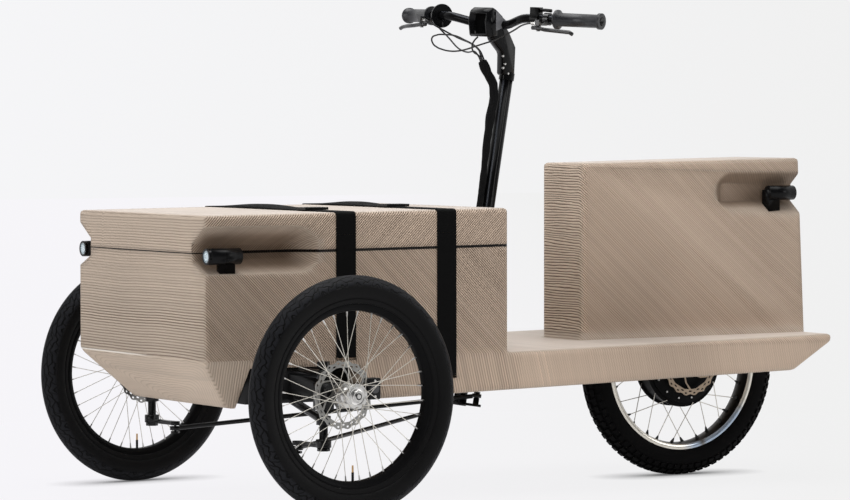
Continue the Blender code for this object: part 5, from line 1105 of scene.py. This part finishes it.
COLUMN_FOOT = Vector((0.022, 0.0, 0.205))
COLUMN_AXIS = Vector((-0.16677, 0.0, 0.98600))
BAR_TURN = Matrix.Rotation(math.radians(13.2), 3, COLUMN_AXIS)
BAR_MIDDLE = Vector((-0.0690, 0.0, 1.1410))
STEM_BOLTS = ((-0.0153, -0.0765), (-0.0228, -0.0962), (-0.0162, -0.1062), (-0.0340, -0.1198))
LEVER_PIVOTS = ((-0.0658, 0.2290, 1.1292), (0.0276, -0.1751, 1.1450))
CHEEK_SIDE, CHEEK_THICK = 0.0322, 0.0036
CHEEK_OUTLINE = ((0.0300, 0.0350), (-0.0090, 0.0085), (-0.0040, -0.0020), (0.0290, -0.0150))


def steered(ahead, left, up):
    """A place given from the bar's middle as if the wheels stood straight, turned with the bar."""
    return COLUMN_FOOT + BAR_TURN @ (BAR_MIDDLE + Vector((ahead, left, up)) - COLUMN_FOOT)


for name, coat in (("steering_column", tube_black), ("stem", gloss_black), ("handlebar", tube_black)):
    smooth_copy(name, "steering", coat)
smooth_copy("steering_plate", "steering", frame_black)
smooth_copy("column_bearing", "body", frame_black)
grip_rubber = moulded("grip_rubber", (0.012, 0.0125, 0.015), 0.36, 260.0, 0.0006, 0.50)
lever_black = anodised("lever_black_coat", (0.008, 0.008, 0.009), 0.20, 0.55)
for side in ("left", "right"):
    smooth_copy(f"grip_{side}", "steering", grip_rubber)
    smooth_copy(f"brake_perch_{side}", "steering", lever_black)
    smooth_copy(f"brake_lever_{side}", f"brake_lever_{side}", lever_black)
smooth_copy("switch_block", "steering", black_moulding)
smooth_copy("thumb_lever", "thumb_lever", black_moulding)
smooth_copy("throttle_ring", "throttle_ring", gloss_black)

low, high = COLUMN_FOOT + COLUMN_AXIS * 0.8105, COLUMN_FOOT + COLUMN_AXIS * 0.8285
collar = rod_between(low, high, 0.0192, gloss_black, 40)
collar.name = "stem_collar"
assign(collar, "steering")
bolts = []
for ahead, up in STEM_BOLTS:
    foot, head = steered(ahead, 0.0150, up), steered(ahead, 0.0185, up)
    bolts.append(rod_between(foot, head, 0.0030, nipple_steel, 12, 0.0026))
assign(joined(bolts, "stem_bolts"), "steering")
pivots = []
for place in map(Vector, LEVER_PIVOTS):
    foot, head = place - COLUMN_AXIS * 0.0070, place + COLUMN_AXIS * 0.0150
    pivots.append(rod_between(foot, head, 0.0036, hub_silver, 14))
assign(joined(pivots, "lever_pivot_bolts"), "steering")

hood = smooth_copy("display", "steering", gloss_black)
ahead = BAR_TURN @ Vector((1.0, 0.0, 0.0))
edit_all()
bpy.ops.mesh.dissolve_limited(angle_limit=math.radians(2.0))
pick_all()
bpy.ops.mesh.bisect(plane_co=steered(0.0330, 0.0, 0.0400), plane_no=BAR_TURN @ Vector((-0.588, 0.0, 0.809)),
                    use_fill=True, clear_outer=True)
bpy.ops.mesh.select_mode(type="FACE")
close_edit()
for face in hood.data.polygons:
    face.select = face.normal.dot(ahead) > 0.90 and face.area > 0.0002
bpy.ops.object.mode_set(mode="EDIT")
bpy.ops.mesh.inset(thickness=0.0030, depth=0.0, use_boundary=True, use_even_offset=True)
bpy.ops.mesh.extrude_region_move(TRANSFORM_OT_translate={"value": ahead * -0.020})
close_edit()
hood.data.materials.append(moulded("hood_inside", (0.0012, 0.0012, 0.0013), 0.6, shine=0.02))
for face in hood.data.polygons:
    face.material_index = int(face.select)

# A light grey plate on the display's side stands in for the glare on that corner: a painted highlight.
cheek = draw_chain("display_cheek", [steered(along, CHEEK_SIDE, up) for along, up in CHEEK_OUTLINE])
bpy.ops.mesh.edge_face_add()
pick_all()
thickness = BAR_TURN @ Vector((0.0, CHEEK_THICK, 0.0))
bpy.ops.mesh.extrude_region_move(TRANSFORM_OT_translate={"value": thickness})
pick_all()
bpy.ops.mesh.normals_make_consistent(inside=False)
close_edit()
cheek.data.materials.append(moulded("cheek_painted_glare", (0.15, 0.15, 0.16), 0.42, 40.0))
assign(cheek, "steering")


# Cables and their woven sleeve: thin black housings from the levers, throttle and display, gathered
# in a braided sleeve that lies against the column. Both ends of each cable are fixed.

CABLE_THICK = 0.0042
CABLE_ROUTES = {
    "brake_cable_right": [
        (0.0277, -0.1684, 1.1553), (0.0281, -0.1544, 1.1550), (0.0189, -0.1467, 1.1481),
        (0.0071, -0.1389, 1.1397), (-0.0054, -0.1308, 1.1314), (-0.0172, -0.1238, 1.1239),
        (-0.0286, -0.1161, 1.1166), (-0.0394, -0.1048, 1.1089), (-0.0448, -0.0919, 1.1040),
        (-0.0474, -0.0781, 1.1002), (-0.0491, -0.0643, 1.0957), (-0.0497, -0.0497, 1.0902),
        (-0.0490, -0.0354, 1.0845), (-0.0471, -0.0207, 1.0775), (-0.0430, -0.0090, 1.0704),
        (-0.0408, 0.0005, 1.0605), (-0.0459, -0.0014, 1.0516)],
    "throttle_cable": [
        (-0.0101, -0.1549, 1.1361), (-0.0175, -0.1479, 1.1260), (-0.0245, -0.1402, 1.1159),
        (-0.0291, -0.1283, 1.1047), (-0.0313, -0.1162, 1.0950), (-0.0329, -0.1032, 1.0865),
        (-0.0343, -0.0902, 1.0807), (-0.0352, -0.0767, 1.0768), (-0.0356, -0.0631, 1.0744),
        (-0.0353, -0.0493, 1.0738), (-0.0342, -0.0350, 1.0751), (-0.0332, -0.0198, 1.0752),
        (-0.0333, -0.0074, 1.0690), (-0.0355, 0.0014, 1.0580), (-0.0401, -0.0002, 1.0489)],
    "brake_cable_left": [
        (-0.0630, 0.2239, 1.1400), (-0.0565, 0.2115, 1.1407), (-0.0560, 0.1951, 1.1403),
        (-0.0574, 0.1632, 1.1358), (-0.0604, 0.1308, 1.1274), (-0.0597, 0.0989, 1.1181),
        (-0.0536, 0.0688, 1.1083), (-0.0471, 0.0401, 1.1001), (-0.0409, 0.0132, 1.0943),
        (-0.0343, -0.0137, 1.0885), (-0.0271, -0.0413, 1.0819), (-0.0186, -0.0695, 1.0773),
        (-0.0087, -0.0961, 1.0769), (0.0006, -0.1245, 1.0822), (0.0057, -0.1389, 1.0877),
        (0.0109, -0.1483, 1.0963), (0.0129, -0.1497, 1.1105), (0.0064, -0.1380, 1.1173),
        (-0.0068, -0.1126, 1.1182), (-0.0187, -0.0862, 1.1146), (-0.0292, -0.0589, 1.1037),
        (-0.0365, -0.0288, 1.0916), (-0.0405, -0.0043, 1.0761), (-0.0415, 0.0052, 1.0644),
        (-0.0471, 0.0051, 1.0520)],
    "display_cable": [
        (-0.0285, 0.0053, 1.1112), (-0.0195, 0.0022, 1.1011), (-0.0149, -0.0002, 1.0882),
        (-0.0194, -0.0007, 1.0739), (-0.0308, 0.0044, 1.0650), (-0.0412, 0.0063, 1.0493)]}
SQUEEZE_TOP_Z, SQUEEZE_FADE, SQUEEZE_MOST, SQUEEZE_TOWARDS = 0.90, 0.10, 0.32, -0.027
cable_skin = moulded("cable_skin", (0.006, 0.006, 0.006), 0.30, shine=0.45)


def cable(name, points, thick):
    """A round cable on one smooth curve through its points."""
    curve = bpy.data.curves.new(name, "CURVE")
    curve.dimensions = "3D"
    curve.bevel_depth = thick / 2
    curve.bevel_resolution = 3
    curve.resolution_u = 8
    curve.use_fill_caps = True
    spline = curve.splines.new("BEZIER")
    spline.bezier_points.add(len(points) - 1)
    for point, place in zip(spline.bezier_points, points):
        point.co = place
        point.handle_left_type = point.handle_right_type = "AUTO"
    piece = bpy.data.objects.new(name, curve)
    bpy.context.scene.collection.objects.link(piece)
    curve.materials.append(cable_skin)
    return piece


adjusters = []
for name, points in CABLE_ROUTES.items():
    piece = assign(cable(f"{name}_smooth", points, CABLE_THICK), "steering", name)
    if name.startswith("brake"):
        start, along = Vector(points[0]), (Vector(points[1]) - Vector(points[0])).normalized()
        nut_end, foot, tip = start + along * 0.0045, start + along * 0.004, start + along * 0.014
        adjusters.append(rod_between(start - along * 0.002, nut_end, 0.0048, nipple_steel, 6))
        adjusters.append(rod_between(foot, tip, 0.0034, hub_silver, 16, 0.0030))
assign(joined(adjusters, "cable_adjusters"), "steering")

sleeve_braid = woven("sleeve_braid", (0.010, 0.010, 0.0105), "DIAGONAL", 120.0)
sleeve = smooth_copy("cable_sleeve", "steering", sleeve_braid)
edit_all()
bpy.ops.mesh.subdivide(number_cuts=3, smoothness=0.4)
bpy.ops.transform.shrink_fatten(value=0.0012)
close_edit()
folds = bpy.data.textures.new("sleeve_folds", "CLOUDS")
folds.noise_scale = 0.045
rumple = sleeve.modifiers.new("rumple", "DISPLACE")
rumple.texture = folds
rumple.texture_coords = "LOCAL"
rumple.strength = 0.008
rumple.mid_level = 0.52
bpy.ops.object.modifier_apply(modifier="rumple")
to_right = Vector(CAMERA_RIGHT)
for point in sleeve.data.vertices:
    on_axis = COLUMN_FOOT + COLUMN_AXIS * ((point.co.z - COLUMN_FOOT.z) / COLUMN_AXIS.z)
    off = (point.co - on_axis).dot(to_right)
    squeeze = SQUEEZE_MOST * min(max((SQUEEZE_TOP_Z - point.co.z) / SQUEEZE_FADE, 0.0), 1.0)
    point.co += to_right * ((SQUEEZE_TOWARDS - off) * squeeze)
smooth(60)


# Battery and belly cover: a plain black plastic block in the bay below the deck, and the moulded plate
# that closes the bay from below.

paint("battery", black_moulding)
paint("belly_cover", black_moulding)
